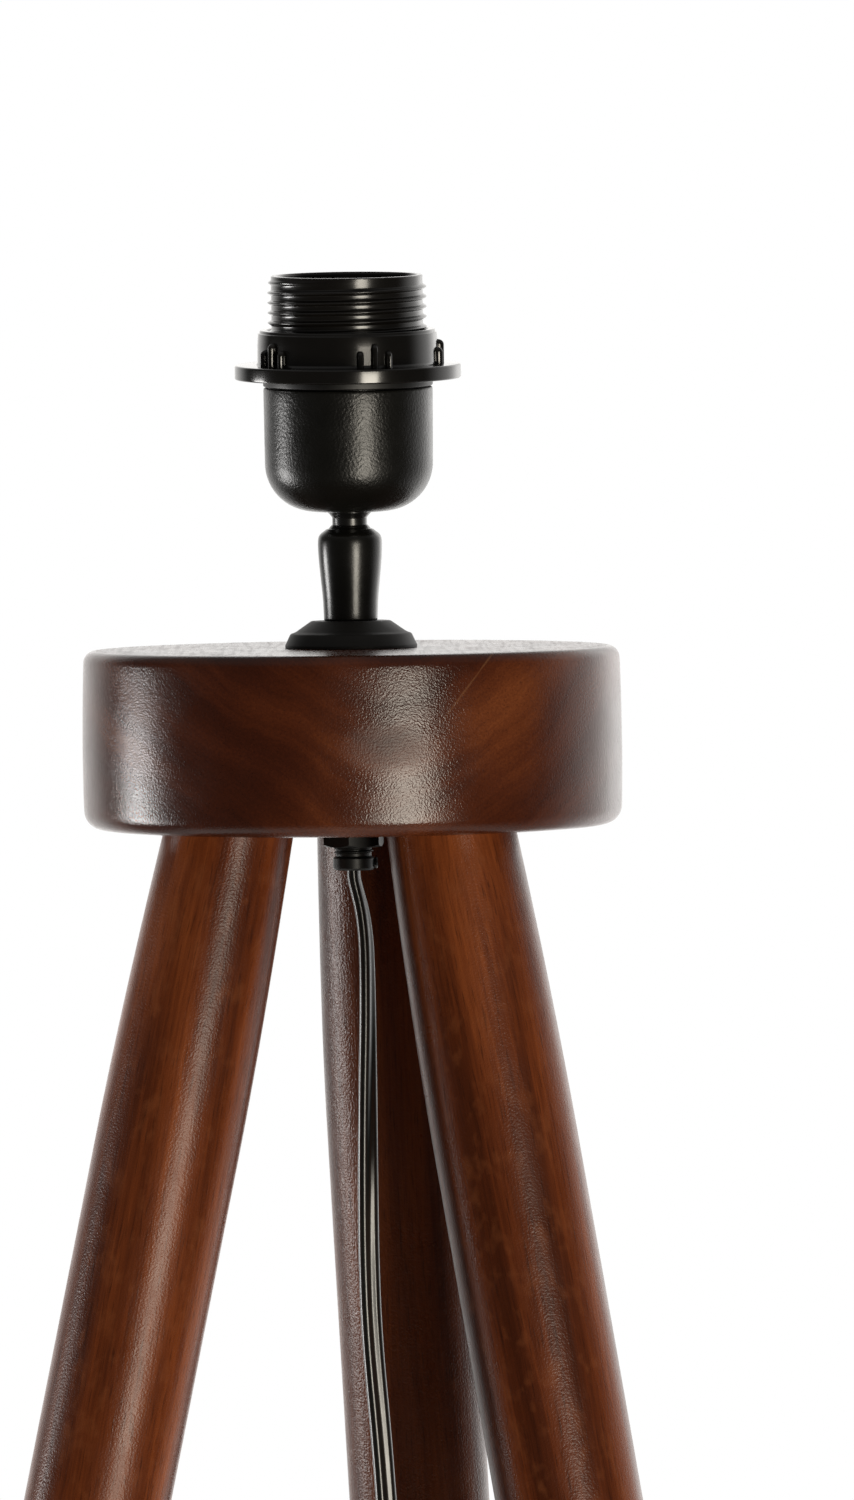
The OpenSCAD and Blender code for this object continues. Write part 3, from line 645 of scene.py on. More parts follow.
line_a = [((x, y, z), width_dir(a)) for x, y, z, a in catmull(DROP, 8)]
lead_upper, pts_a, len_a = cord_piece("lead_to_switch", line_a, ["cord_drop"])
line_b = ([((x, y, z), width_dir(a, e)) for x, y, z, a, e in catmull(TAIL, 8)] + coil_points()
          + [((x, y, z), width_dir(a, e)) for x, y, z, a, e in catmull(PLUG_ROUTE, 6)])
lead_lower, pts_b, len_b = cord_piece("lead_to_plug", line_b, ["cord_tail", "cord_coil", "cord_end"])

# ---- wooden disc and legs ------------------------------------------------------------
GRAIN = ON_AXIS @ Matrix.Rotation(rad(12), 4, "Z")
wood_disc = wood_disc_material("stained wood, disc", GRAIN)
wood_disc_top = wood_disc_material("stained wood, disc top", GRAIN, True)


def disc_warp(a, r, h):
    if r < 55 or h > -2.5 or h < -DISC_T + 3.5:
        return 0.0
    p = Vector((r * math.cos(a), r * math.sin(a), h))
    d = (math.degrees(a) + 65.5 + 180) % 360 - 180
    pillow = 0.10 * math.exp(-(d / 13.0) ** 2) * math.exp(-((h + 23) / 8.5) ** 2)
    return pillow + 0.060 * noise.noise(p / 17.0 + Vector((3.1, 0.4, 7.7))) + 0.012 * noise.noise(p / 6.0)


def make_disc():
    f1, f2, rr = 4.5, 3.0, 67.5
    side = []
    z0, z1, zc = -DISC_T + f1, -f2, -24.5
    for i in range(1, 22):
        z = z0 + (z1 - z0) * i / 22
        side.append((rr - 0.40 * ((z - zc) / 20) ** 2, z))
    lower = rr - 0.40 * ((z0 - zc) / 20) ** 2
    upper = rr - 0.40 * ((z1 - zc) / 20) ** 2
    prof = ([(5.2, -DISC_T)] + [(x, -DISC_T) for x in (12, 24, 36, 48, 58)]
            + arc(lower - f1, z0, f1, -90, 0, 10) + side + arc(upper - f2, z1, f2, 0, 90, 8)
            + [(x, 0.0) for x in (58, 48, 36, 24, 12)] + [(5.2, 0.0)])
    v, f = lathe(prof, 240, disc_warp)
    flat = [1 if all(v[i][2] > -0.02 for i in q) else 0 for q in f]
    ob = make("disc_turned", v, f, [wood_disc, wood_disc_top], "stand", 40, ON_AXIS, "top_disc",
              face_mat=flat)
    tool = lathe([(0, -20), (LEG_TOP_D / 2 + 0.25, -20), (LEG_TOP_D / 2 + 0.25, 8), (6.25, 8), (6.25, 27), (4.2, 27),
                  (4.2, 31), (0, 31)], 96)
    for a in LEG_DIRS.values():
        cut(ob, [tool], on_leg(a))
    return ob


def leg_rad(t):
    return LEG_D / 2 - (LEG_D - LEG_TOP_D) / 2 * max(0.0, 1 - t / LEG_TAPER) ** 1.7


def make_leg(name, a, seed):
    def warp(th, r, h):
        if r < 14 or h > -1:
            return 0.0
        p = Vector((r * math.cos(th), r * math.sin(th), h * 0.30))
        return 0.07 * noise.noise(p / 16.0 + Vector((seed * 9.7, 2.2, 0.3)))

    prof = [(0, -35), (4, -35), (4, 8), (leg_rad(0) - 0.9, 8), (leg_rad(0) - 0.3, 7.4)]
    z = 0.0
    while z < LEG_LEN - LEG_TAPER:
        prof.append((leg_rad(min(z, LEG_LEN - z)), -z))
        z += 4.0 if z < LEG_TAPER else 12.0
    k = 20
    for i in range(k + 1):
        t = LEG_TAPER * (1 - i / k)
        prof.append((leg_rad(t), -LEG_LEN + t))
    prof += [(leg_rad(0), -LEG_LEN - 12), (0, -LEG_LEN - 12)]
    v, f = lathe(prof, 112, warp)
    m = on_leg(a)
    # the back leg's colour is darkened by 0.42 as painted shade; its lacquer grain is also coarser
    ob = make(name + "_turned", v, f, wood("stained wood, " + name.replace("_", " "), m, seed,
         *((0.42, 0.000150) if name == "leg_back" else (0.0, 0.000068))), "stand", 40, m,
              name)
    # level foot and the glide's pin hole
    x, y = FOOT_R * math.cos(rad(a)), AXIS_Y + FOOT_R * math.sin(rad(a))
    tool = add([moved(lathe([(0, -70), (60, -70), (60, GLIDE_T), (1.55, GLIDE_T), (1.55, 18), (0, 18)], 48),
                      Matrix.Translation((x, y, 0)))])
    cut(ob, [tool], Matrix.Identity(4))
    return ob


make_disc()
for i, (leg_name, leg_az) in enumerate(LEG_DIRS.items()):
    make_leg(leg_name, leg_az, (2.3, 0.0, 1.1)[i])

# ---- clamp hardware and swivel ----------------------------------------------------


def helix(r_root, r_crest, pitch, h0, h1, half, phase, per_turn=72, fade=(0.25, 0.25), crest=0.12, embed=0.25):
    """A right-handed thread ridge from height h0 up to h1, sunk a little into its core; phase is the azimuth at h0."""
    turns = (h1 - h0) / pitch
    n = int(turns * per_turn)
    rings = []
    for i in range(n + 1):
        t = i / per_turn
        a = rad(phase) + 2 * pi * t
        k = min(1.0, t / fade[0] if fade[0] else 1, (turns - t) / fade[1] if fade[1] else 1)
        k = smooth(max(0.0, k))
        top = r_root - 0.02 + (r_crest - r_root + 0.02) * k
        h = h0 + pitch * t
        sec = [(r_root - embed, -half), (r_root - 0.02, -half * (0.55 + 0.45 * k)),
               (top - 0.06 * k, -crest * 1.5), (top, -crest * 0.6), (top, crest * 0.6), (top - 0.06 * k, crest * 1.5),
               (r_root - 0.02, half * (0.55 + 0.45 * k)), (r_root - embed, half)]
        rings.append([(x * math.cos(a), x * math.sin(a), h + z) for x, z in sec])
    return tube(rings)


v, f = lathe(fillet([(3.6, -DISC_T - 7.8), (4.5, -DISC_T - 7.8, 0.3), (4.5, 13, 0.3), (3.6, 13)], 0.15), 72)
t1 = helix(4.48, 4.93, 1.0, -DISC_T - 7.3, 12.5, 0.46, 0, 40, crest=0.07)
rod_mat = zinc
v, f = add([(v, f), t1])
make("rod_with_thread", v, f, black_dull, "stand", 30, ON_AXIS, "threaded_rod")

cap = fillet([(4.98, 6.8), (9.9, 6.8, 1.0), (13.7, 4.15, 0.6), (14.35, 3.85, 0.4), (15.15, 3.6, 0.9), (15.95, 1.9, 1.6),
              (16.5, 0.75, 0.5), (16.5, 0, 0.15), (15.1, 0), (14.7, 1.8, 0.4), (13.6, 2.5, 0.4), (10, 5.4, 0.6),
              (4.98, 5.4)], 0.12, 9)
v, f = lathe(cap, 160)
make("base_cap_pressed", v, f, black_cap, "stand", 34, ON_AXIS, "base_cap")

CAV = 6.7
tube_prof = ([(4.98, 6.8), (6.5, 6.8), (6.66, 7.05), (6.72, 7.4), (6.78, 9), (6.88, 11.5), (7.08, 14), (7.33, 16.5),
              (7.57, 19), (7.76, 21), (7.90, 22.8), (7.99, 24.6), (8.02, 26), (7.99, 26.8), (7.89, 27.5),
              (7.70, 28.05), (7.38, 28.5), (6.98, 28.87), (6.4, 29.27), (6.05, 29.56), (5.9, 29.68), (5.75, 29.72)]
             + arc(0, BALL_H, CAV, 34, 7, 8) + [(6.65, 17), (5.8, 17), (5.8, 13), (4.98, 13)])
v, f = lathe(tube_prof, 144)
make("swivel_tube", v, f, black_paint, "stand", 34, ON_AXIS, "swivel_housing")

# ---- lampholder -----------------------------------------------------------------------
cup_prof = ([(4.98, 34.4)] + arc(9, 46.4, 12, -90, 0, 22)
            + [(21.03, 50), (21.06, 54), (21.1, 58), (21.13, 62), (21.15, 64.6), (21.1, 65.0), (20.95, 65.2),
               (20.7, 65.3), (19.9, 65.3), (19.7, 65.2), (19.65, 65.0)]
            + arc(9, 46.4, 10.4, 0, -90, 14) + [(8, 36), (8, 44.2), (7.8, 44.4), (4.98, 44.4)])
v, f = lathe(cup_prof, 192)
cup = make("cup_moulded", v, f, black_satin, "head", 34, IN_HEAD, "lampholder_cup")
screw_hole = moved(rod(1.3, 0, 5), Matrix.Rotation(rad(TILT_DIR + 90), 4, "Z") @ Matrix.Translation((4, 0, 40.4))
                   @ Matrix.Rotation(rad(90), 4, "Y"))
cut(cup, [screw_hole], IN_HEAD)



def sleeve():
    """The threaded sleeve: its outside is one sheet whose rows follow the thread, its inside is turned."""
    n, root, crest, pitch = 192, 18.95, 19.87, 2.5
    h_low, h_top = 67.3, 92.95
    first = 89.62 - pitch * 9 + pitch * 78 / 360
    # across one pitch: offset from the crest and how far out
    rows = [(-1.25, 0), (-0.98, 0), (-0.74, 0.02), (-0.63, 0.12), (-0.42, 0.50), (-0.21, 0.88), (-0.09, 0.98), (0, 1.0),
            (0.09, 0.98), (0.21, 0.88), (0.42, 0.50), (0.63, 0.12), (0.74, 0.02), (0.98, 0)]
    verts, faces = [], []
    m = len(rows)
    threads = 12
    total = threads * m + 1
    start, stop = 0.6, 9.82
    for i in range(n + 1):
        turn = i / n
        a = 2 * pi * turn
        for k in range(total):
            d, w = rows[k % m]
            t = k // m + turn
            h = first + pitch * t + d
            amp = smooth((t - start) / 0.3) * smooth((stop - t) / 0.42)
            r = root + (crest - root) * w * amp
            if h < h_low or h > h_top:
                r = root
            h = max(h_low, min(h_top, h))
            verts.append((r * math.cos(a), r * math.sin(a), h))
    for i in range(n):
        for k in range(total - 1):
            q = (i * total + k, (i + 1) * total + k, (i + 1) * total + k + 1, i * total + k + 1)
            hs = [verts[x][2] for x in q]
            if max(hs) - min(hs) < 1e-9:
                continue
            faces.append(q)
    cap = fillet([(17.3, 58, 0.15), (19.25, 58, 0.4), (19.4, 65.6, 0.1), (21.2, 65.6, 0.35), (21.2, h_low, 0.3),
                  (root, h_low), (root, h_top), (18.7, 93.2, 0.2), (17.55, 93.2, 0.3), (17.3, 92.6, 0.2)], 0, 12)
    lv, lf = lathe(cap, n)
    keep = []
    for f in lf:
        if not all(abs(math.hypot(lv[x][0], lv[x][1]) - root) < 1e-4 for x in f):
            keep.append(f)
    verts, faces = add([(verts, faces), (lv, keep)])
    # the stop flange below the shade ring gets the darker, duller moulding: painted shade for the shadow under the
    # ring's flange, besides a rougher finish
    dull = [1 if all(65.5 < verts[x][2] < 67.35 and math.hypot(verts[x][0], verts[x][1]) > 19.3 for x in f) else 0
            for f in faces]
    return verts, faces, dull


v, f, dull = sleeve()
# the stop flange's faces take the darker dull moulding as painted shade
make("sleeve_with_thread", v, f, [black_sleeve, black_dull], "head", 50, IN_HEAD, "threaded_sleeve",
     face_mat=dull)


def rib(top, width=1.85, depth=1.65):
    """An upright gripping rib with a round top, its axis on the collar's face."""
    rings = []
    n = 20
    levels = [(70.6, 1.0), (71.4, 1.0), (73.0, 1.0), (top - 1.3, 1.0)]
    for i in range(1, 8):
        a = rad(90 * i / 7.5)
        levels.append((top - 1.3 + 1.3 * math.sin(a), math.cos(a)))
    for h, s in levels:
        rings.append([(22.42 + depth * s * math.cos(2 * pi * j / n), width / 2 * (0.25 + 0.75 * s if s < 1 else 1)
                       * math.sin(2 * pi * j / n), h) for j in range(n)])
    return tube(rings)


ring_prof = fillet([(20.05, 67.4, 0.2), (28.3, 67.4, 0.45), (28.3, 71.0, 0.5), (23.0, 71.05, 0.4), (22.60, 71.6, 0.5),
                    (22.54, 76.2, 3.0), (22.34, 78.85, 0.25), (22.0, 79.0, 0.2), (21.85, 79.7, 0.35), (20.3, 79.7, 0.3),
                    (20.05, 79.3, 0.1)],
                   0.2, 10)
parts = [lathe(ring_prof, 192)]
for g in range(5):
    for j in (-1, 0, 1):
        parts.append(moved(rib(77.0 if j == 0 else 75.3), Matrix.Rotation(rad(-60.9 + 72 * g + 9.2 * j), 4, "Z")))
v, f = add(parts)
make("ring_with_ribs", v, f, black_gloss, "shade_ring", 30, IN_HEAD, "shade_ring")


def shell_thread():
    """E27 screw shell: rolled brass, the same thread inside and out."""
    pitch, n, rows = 3.63, 120, 150
    lo, hi = 66.4, 88.4

    def wall(sign):
        out = []
        for i in range(rows + 1):
            h = lo + (hi - lo) * i / rows
            k = smooth((h - lo) / 2.2) * smooth((hi - h) / 1.4)
            out.append((h, k))
        return out

    rings = []
    for h, k in [(h, k) for h, k in wall(1)]:
        rings.append([("in", h, k)])
    verts, faces = [], []
    levels = [("in", h, k) for h, k in wall(1)] + [("out", h, k) for h, k in reversed(wall(-1))]
    pre = [(11.4, 62.6), (12.0, 62.6), (12.1, 65.9)]
    post = [(12.55, 65.6), (12.5, 62.05), (11.4, 62.05)]
    for i in range(n):
        a = 2 * pi * i / n
        col = [(r, h) for r, h in pre]
        for side, h, k in levels:
            w = 0.5 - 0.5 * math.cos(2 * pi * ((h - lo) / pitch - i / n))
            r = 13.3 - 1.0 * k * w ** 0.9 - (1.2 * (1 - smooth((h - lo) / 0.8)) if h < lo + 0.8 else 0)
            col.append((r if side == "in" else r + 0.38, h))
        col += post
        verts += [(r * math.cos(a), r * math.sin(a), h) for r, h in col]
        m = len(col)
    for i in range(n):
        k = (i + 1) % n
        for j in range(m):
            l = (j + 1) % m
            faces.append((i * m + j, k * m + j, k * m + l, i * m + l))
    return verts, faces


v, f = shell_thread()
make("shell_with_thread", v, f, brass, "head", 40, IN_HEAD, "screw_shell")

# ---- foot switch ------------------------------------------------------------------------
ON_SWITCH = ON_FLOOR @ Matrix.Translation((SWITCH_X, SWITCH_Y, 0))


def pill_lathe(levels, a=23.0, n=96):
    """A closed outline of ('p' or 'c', radius, height) taken round a pill (or, for 'c', a circle)."""
    verts, faces, m = [], [], len(levels)
    per = []
    for i in range(n):
        th = 2 * pi * (i + 0.5) / n
        per.append((math.cos(th), math.sin(th), 1 if math.cos(th) > 0 else -1))
    # straight flanks get points of their own
    full = []
    straight = 12
    for i, (c, s, side) in enumerate(per):
        full.append((c, s, side * a))
        nxt = per[(i + 1) % n]
        if nxt[2] != side:
            for j in range(1, straight):
                x = side * a * (1 - 2 * j / straight)
                full.append((0.0, 1 if s > 0 else -1, x))
    count = len(full)
    for c, s, x in full:
        for kind, r, h in levels:
            if kind == "p":
                verts.append((x + r * c, r * s, h))
            else:
                px, py = x + 14 * c, 14 * s
                t = math.hypot(px * 0.55, py)
                verts.append((r * px * 0.55 / t, r * py / t, h))
    for i in range(count):
        k = (i + 1) % count
        for j in range(m):
            l = (j + 1) % m
            if levels[j][1] <= 0 and levels[l][1] <= 0:
                continue
            faces.append((i * m + j, k * m + j, k * m + l, i * m + l))
    return verts, faces


def p_levels(points, kind="p"):
    return [(kind, r, h) for r, h in points]


base_prof = fillet([(0, 0), (17, 0, 1.8), (17, 10, 0.35), (14.8, 10, 0.2), (14.8, 2, 0.6), (0, 2)], 0, 12)
v, f = pill_lathe(p_levels(base_prof))
sw_base = make("switch_base_moulded", v, f, switch_black, "stand", 34, ON_SWITCH, "switch_base")
tools = []
for s in (-1, 1):
    tools.append(moved(lathe([(0, -1), (2.9, -1), (2.9, 1.4), (1.6, 1.4), (1.6, 4), (0, 4)], 40), Matrix.Translation((s * 31, 0, 0))))
for t in tools:
    cut(sw_base, [t], ON_SWITCH)
for s in (-1, 1):
    cut(sw_base, [moved(rod(3.05, -1, 9, 48), Matrix.Translation((s * 34.5, 0, 6)) @ Matrix.Rotation(rad(s * 90), 4, "Y"))], ON_SWITCH)

cover = [("p", 14.8, 10.05)] + p_levels([(16.65, 10.05), (16.88, 10.15), (17.0, 10.4), (17.0, 13.5), (16.95, 15.2), (16.6, 16.9),
                                         (15.9, 18.4), (14.9, 19.6), (13.8, 20.35), (12.9, 20.75), (12.1, 20.95)])
cover += [("c", 11.95, 21.0), ("c", 11.6, 20.95), ("c", 11.4, 20.75), ("c", 11.3, 20.4), ("c", 11.3, 19.4),
          ("p", 12.6, 19.2), ("p", 13.4, 18.6), ("p", 14.3, 17.4), ("p", 14.75, 15.8)]
v, f = pill_lathe(cover)
make("switch_cover_moulded", v, f, switch_black, "stand", 34, ON_SWITCH, "switch_cover")

btn = [(0, 14.2), (0, 12.5), (2.4, 12.5, 0.1), (2.4, 14.2), (12.2, 14.2, 0.15), (12.2, 15.6, 0.2), (11, 15.6),
       (11, 24.0, 1.3), (8.9, 24.25, 0.5), (8.3, 23.85, 0.3), (7.7, 23.85, 0.3), (7.2, 24.1, 0.3), (6.5, 24.05, 0.3),
       (6.0, 23.7, 0.3), (5.4, 23.7, 0.3), (4.9, 23.95, 0.3), (0, 23.8)]
v, f = lathe(fillet(btn, 0, 15), 96)
make("button_moulded", v, f, button_black, "switch_button", 34, ON_SWITCH, "switch_button")


def wound_spring(r, wire, z0, z1, turns, n=30, m=12):
    """A compression spring of round wire with a flat part turn at each end."""
    rings = []
    for i in range(n * turns + 1):
        a = 2 * pi * i / n
        z = z0 + (z1 - z0) * max(0.0, min(1.0, (i / n - 0.6) / (turns - 1.2)))
        rings.append([((r + wire * math.cos(2 * pi * j / m)) * math.cos(a), (r + wire * math.cos(2 * pi * j / m)) * math.sin(a),
                       z + wire * math.sin(2 * pi * j / m)) for j in range(m)])
    return tube(rings)


v, f = wound_spring(4.2, 0.45, 2.5, 13.7, 5)
spring = make("switch_spring_wound", v, f, spring_steel, "stand", 40, ON_SWITCH, "switch_spring")
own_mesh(spring)


def relief(r0, r1, length, n_ribs, flange):
    """A tapered, segmented strain relief along +Z from its flange."""
    prof = [(0, 0), (4.4, 0, 0.1), (4.4, 0.55, 0.1), (3.0, 0.55), (3.0, 3.7), (flange, 3.7, 0.3), (flange, 6.0, 0.5)]
    z0 = 6.0
    step = (length - z0 - 2.0) / n_ribs
    for i in range(n_ribs):
        t = i / n_ribs
        r = r0 + (r1 - r0) * t
        z = z0 + i * step
        prof += [(r - 0.75, z + 0.15, 0.12), (r - 0.75, z + 0.28 * step, 0.25), (r, z + 0.36 * step, 0.3),
                 (r - 0.08, z + 0.98 * step, 0.3)]
    prof += [(r1 - 0.3, length - 1.2, 0.3), (r1 - 0.55, length, 0.4), (0, length)]
    return lathe(fillet(prof, 0, 18), 64)


for s, side in ((-1, "left"), (1, "right")):
    v, f = moved(relief(4.5, 3.55, 27.6, 6, 4.7), Matrix.Translation((s * 36.4, 0, 6)) @ Matrix.Rotation(rad(s * 90), 4, "Y"))
    make("switch_relief_" + side, v, f, pvc, "stand", 34, ON_SWITCH, "switch_grommets")

# ---- plug ------------------------------------------------------------------------------------
ON_PLUG = ON_FLOOR @ Matrix.Translation((PLUG_X, PLUG_Y, 6.9))


def plug_shape():
    rings = []
    n = 64

    def ring(x, w, h, e):
        out = []
        for j in range(n):
            a = 2 * pi * j / n
            c, s = math.cos(a), math.sin(a)
            out.append((x, w * math.copysign(abs(c) ** (2 / e), c), h * math.copysign(abs(s) ** (2 / e), s)))
        return out

    x = 0.0
    rings.append(ring(0, 2.9, 2.5, 2))
    rings.append(ring(0.3, 3.15, 2.75, 2))
    for i in range(6):
        r = 3.4 + 0.26 * i
        x0 = 1.0 + 3.4 * i
        for dx, dr in ((0, 0), (1.5, 0.08), (1.8, 0.0), (1.95, -0.6), (3.0, -0.6), (3.2, 0.0)):
            k = 1 + 0.10 * (1 - i / 6)
            rings.append(ring(x0 + dx, (r + dr) * k, r + dr - 0.35, 2))
    for x, w, h, e in ((22.0, 5.3, 4.9, 2.0), (23.0, 6.2, 5.15, 2.2), (24.2, 7.4, 5.4, 2.4), (26, 9.2, 5.75, 2.7),
                       (28.5, 11.6, 6.1, 3.0), (31, 13.7, 6.35, 3.2), (33.5, 15.2, 6.55, 3.4), (36, 16.2, 6.68, 3.5),
                       (39, 16.95, 6.78, 3.6), (42, 17.35, 6.83, 3.7), (46, 17.55, 6.85, 3.7), (50, 17.6, 6.85, 3.7),
                       (53.2, 17.6, 6.83, 3.7), (54.2, 17.45, 6.7, 3.6), (54.75, 17.1, 6.4, 3.5), (55, 16.6, 5.9, 3.4)):
        rings.append(ring(x, w, h, e))
    v, f = tube(rings)
    out = []
    for x, y, z in v:
        # finger grips on both flats
        if 34 < x < 47 and abs(y) < 11:
            w = smooth((11 - abs(y)) / 3) * smooth((x - 34) / 2) * smooth((47 - x) / 2)
            z -= math.copysign(0.35 * w * (0.5 - 0.5 * math.cos((x - 34) / 13 * 2 * pi * 4)), z)
        out.append((x, y, z))
    return out, f


v, f = plug_shape()
make("plug_moulded", v, f, plug_black, "stand", 32, ON_PLUG, "plug_body")
v, f, fm = [], [], []
for s in (-1, 1):
    sleeve = lathe(fillet([(0, -0.5), (1.9, -0.5), (1.9, 10, 0.12), (0, 10)], 0), 40)
    tip = lathe([(0, 9.9), (1.98, 9.9), (2.0, 10.1), (2.0, 17)] + arc(0, 17, 2, 0, 90, 8)[1:], 40)
    for part, mi in ((sleeve, 0), (tip, 1)):
        pv, pf = moved(part, Matrix.Translation((55, s * 9.2, 0)) @ Matrix.Rotation(rad(90), 4, "Y"))
        b = len(v)
        v += pv
        f += [tuple(x + b for x in q) for q in pf]
        fm += [mi] * len(pf)
make("plug_pins_sleeved", v, f, [plug_black, nickel], "stand", 34, ON_PLUG, "plug_pins", face_mat=fm)

# ---- coil tie ----------------------------------------------------------------------------------


def strap():
    """A strap wound one and a third times round the coil's section."""
    def outline(off):
        return fillet([(-7.1 - off, 0.5 - off * 0.55, 2.0), (7.1 + off, 0.5 - off * 0.55, 2.0), (7.1 + off, 12.0 + off, 2.2),
                       (-7.1 - off, 12.0 + off, 2.2)], 0, 12)

    one = outline(0.35)
    k = len(one)
    pts = [Vector((x, z)) for x, z in one] * 2
    total = int(k * 1.30)
    rings = []
    first = k // 2
    for i in range(total):
        j = first + i
        p = pts[j % k]
        q, r = pts[(j + 1) % k], pts[(j - 1) % k]
        d = (q - r).normalized()
        nrm = Vector((d.y, -d.x))
        lift = 0.42 * smooth((i - k * 0.92) / (k * 0.08)) * 1.9
        c = p + nrm * lift
        half, th = 5.0, 0.36
        rings.append([(c.x + nrm.x * s * th, y, c.y + nrm.y * s * th) for y, s in
                      ((-half, -1), (half, -1), (half + 0.1, 0), (half, 1), (-half, 1), (-half - 0.1, 0))])
    return tube(rings)


v, f = strap()
make("tie_strap", v, f, strap_black, "stand", 50, ON_FLOOR @ Matrix.Translation((COIL_X + COIL_R, COIL_Y, 0)),
     "coil_tie")

# ---- materials of the CAD's own pieces ------------------------------------------------------------
for names, material in (
        (("leg_hanger_bolts", "terminal_screws", "cup_lock_screw", "switch_screws"), zinc),
        (("leg_insert_nuts", "centre_contact", "switch_terminals"), brass),
        (("swivel_spring", "switch_spring"), spring_steel),
        (("swivel_seat",), nylon),
        (("foot_glides",), glide_black),
        (("ball_stud", "cord_grip_screw"), black_metal),
        (("rod_washer", "rod_nut", "cord_grip"), black_dull),
        (("socket_insert",), insert_brown),
        (("wires_upper", "wires_lower"), wire_brown)):
    for name in names:
        for s in NODES[name].material_slots:
            s.material = material

# ---- floor, world and lights -----------------------------------------------------------------------


def make_floor():
    n = 96
    verts, faces = [(0, 0, 0)], []
    radii = [0.4, 0.9, 1.6]
    for r in radii:
        verts += [(r * math.cos(2 * pi * i / n), r * math.sin(2 * pi * i / n), 0) for i in range(n)]
    for i in range(n):
        faces.append((0, 1 + i, 1 + (i + 1) % n))
        for k in range(len(radii) - 1):
            a, b = 1 + k * n, 1 + (k + 1) * n
            faces.append((a + i, b + i, b + (i + 1) % n, a + (i + 1) % n))
    me = bpy.data.meshes.new("floor")
    me.from_pydata(verts, [], faces)
    ob = bpy.data.objects.new("floor", me)
    ob.location.z = -0.0002
    bpy.context.scene.collection.objects.link(ob)
    k = Mat("pale floor", (0.80, 0.795, 0.785), 0.75)
    v = k.coords()
    c = k.noise(v, 3.0, 3.0, 0.5).outputs["Fac"]
    k.set("Base Color", k.ramp(c, [(0.3, (0.78, 0.775, 0.765)), (0.7, (0.82, 0.815, 0.805))]))
    d = k.node("VectorMath", {0: v}, operation="LENGTH").outputs["Value"]
    k.set("Alpha", k.remap(d, 0.55, 1.55, 1.0, 0.0, "SMOOTHSTEP"))
    me.materials.append(k.m)


make_floor()

world = bpy.data.worlds.new("studio")
bpy.context.scene.world = world
world.use_nodes = True
wt = world.node_tree
wt.nodes.clear()


def wn(kind, ins=None, **attrs):
    n = wt.nodes.new("ShaderNode" + kind)
    for a, b in attrs.items():
        setattr(n, a, b)
    for a, b in (ins or {}).items():
        if isinstance(b, bpy.types.NodeSocket):
            wt.links.new(b, n.inputs[a])
        else:
            n.inputs[a].default_value = b
    return n


BACK = (-math.sin(rad(CAM_AZ)), math.cos(rad(CAM_AZ)), 0)
RIGHT = (math.cos(rad(CAM_AZ)), math.sin(rad(CAM_AZ)), 0)
wdir = wn("TexCoord").outputs["Generated"]
along = wn("VectorMath", {0: wdir, 1: BACK}, operation="DOT_PRODUCT").outputs["Value"]
side = wn("VectorMath", {0: wdir, 1: RIGHT}, operation="DOT_PRODUCT").outputs["Value"]
up = wn("SeparateXYZ", {0: wdir}).outputs["Z"]
rear = wn("MapRange", {"Value": along, "From Min": 0.50, "From Max": 0.90, "To Min": 0.0, "To Max": 1.0},
          interpolation_type="SMOOTHSTEP").outputs[0]
rear_r = wn("MapRange", {"Value": along, "From Min": -0.12, "From Max": 0.62, "To Min": 0.0, "To Max": 1.0},
            interpolation_type="SMOOTHSTEP").outputs[0]
right_part = wn("MapRange", {"Value": side, "From Min": 0.15, "From Max": 0.6, "To Min": 0.0, "To Max": 1.0},
                interpolation_type="SMOOTHSTEP").outputs[0]
r2 = wn("Math", {0: rear_r, 1: right_part}, operation="MULTIPLY").outputs[0]
level = wn("Math", {0: wn("Math", {0: up, 1: 0.0}, operation="ABSOLUTE").outputs[0], 1: 0.0}, operation="ADD").outputs[0]
near_h = wn("MapRange", {"Value": level, "From Min": 0.35, "From Max": 0.8, "To Min": 1.0, "To Max": 0.05},
            interpolation_type="SMOOTHSTEP").outputs[0]
aside = wn("Math", {0: side, 1: 0.0}, operation="ABSOLUTE").outputs[0]
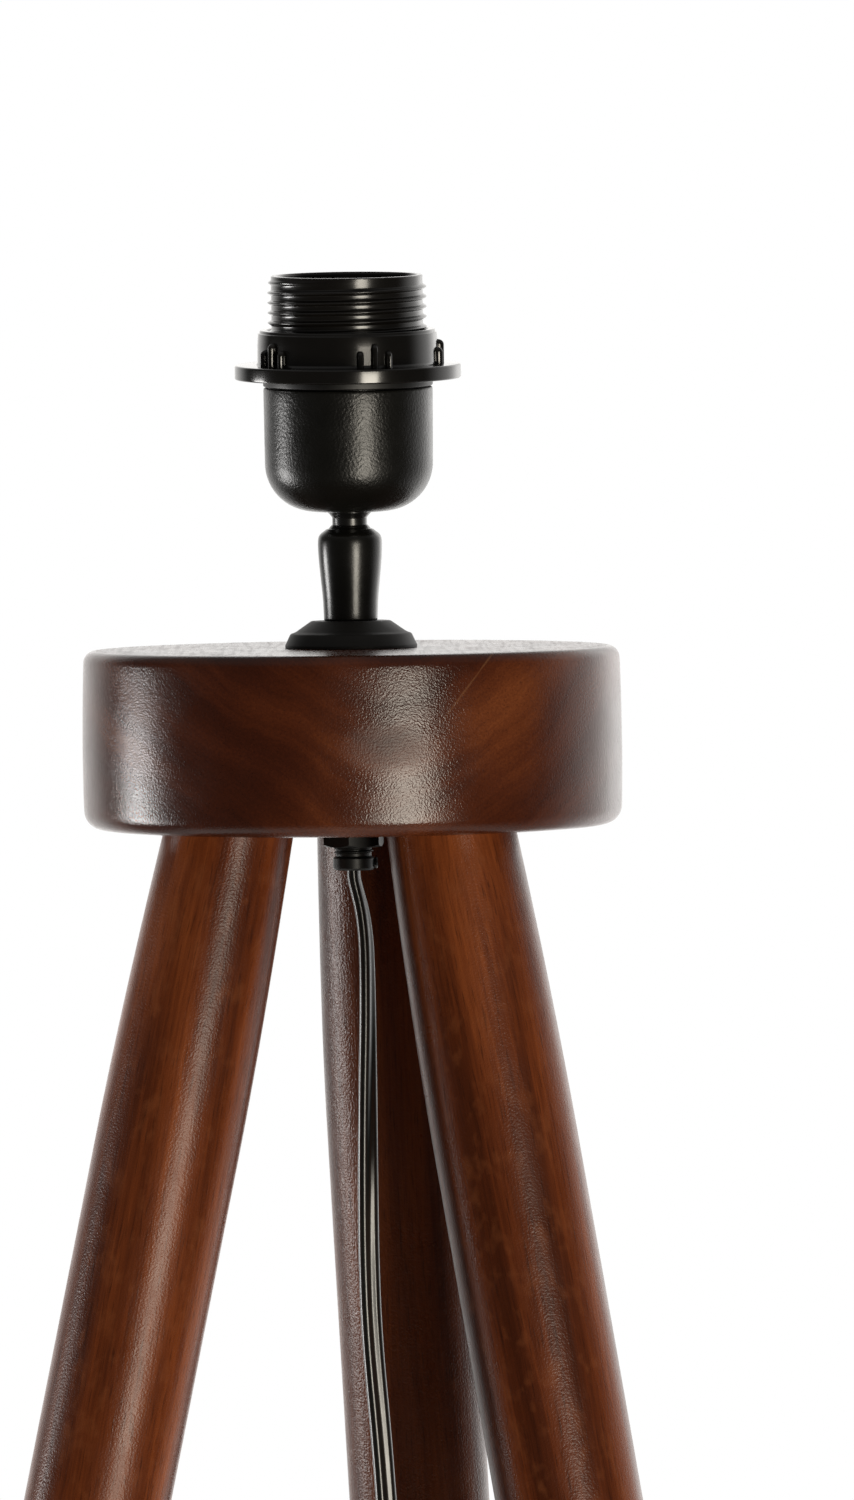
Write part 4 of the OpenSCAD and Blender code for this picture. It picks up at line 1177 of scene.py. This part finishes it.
centre = wn("MapRange", {"Value": aside, "From Min": 0.10, "From Max": 0.26, "To Min": 1.58, "To Max": 1.22},
            interpolation_type="SMOOTHSTEP").outputs[0]
s1 = wn("Math", {0: rear, 1: centre}, operation="MULTIPLY").outputs[0]
s2 = wn("Math", {0: r2, 1: 1.22, 2: s1}, operation="MULTIPLY_ADD").outputs[0]
ceiling = wn("MapRange", {"Value": up, "From Min": 0.15, "From Max": 0.8, "To Min": 0.040, "To Max": 0.20},
             interpolation_type="SMOOTHSTEP").outputs[0]
strength = wn("Math", {0: s2, 1: near_h, 2: ceiling}, operation="MULTIPLY_ADD").outputs[0]
env = wn("Background", {"Color": (1.0, 0.985, 0.965, 1), "Strength": strength})
white = wn("Background", {"Color": (1, 1, 1, 1), "Strength": 1.0})
cam_ray = wn("LightPath").outputs["Is Camera Ray"]
mix = wn("MixShader", {0: cam_ray, 1: env.outputs[0], 2: white.outputs[0]})
out = wn("OutputWorld", {"Surface": mix.outputs[0]})


def softbox(name, azimuth, distance, width, z0, z1, power, color, spread=180):
    """An upright area light at an azimuth from the camera's side, facing the lamp."""
    a = rad(CAM_AZ + azimuth)
    p = Vector((math.sin(a) * distance, AXIS_Y / 1000 - math.cos(a) * distance, (z0 + z1) / 2))
    data = bpy.data.lights.new(name, "AREA")
    data.shape = "RECTANGLE"
    data.size, data.size_y = width, z1 - z0
    data.energy = power * width * (z1 - z0) * pi
    data.color = color
    data.spread = rad(spread)
    ob = bpy.data.objects.new(name, data)
    bpy.context.scene.collection.objects.link(ob)
    to = Vector((0, AXIS_Y / 1000, p.z)) - p
    ob.location = p
    ob.rotation_euler = to.to_track_quat("-Z", "Y").to_euler()
    ob.visible_camera = False
    return ob


softbox("key_softbox", 22.5, 1.5, 0.44, 0.35, 1.235, 15.0, (1.0, 0.93, 0.80))
softbox("side_strip", -103.5, 1.5, 0.40, 0.50, 1.142, 17.5, (1.0, 0.985, 0.97))

bpy.context.scene.view_settings.view_transform = "Standard"
bpy.context.scene.view_settings.look = "None"
bpy.context.scene.view_settings.exposure = 0
bpy.context.scene.view_settings.gamma = 1
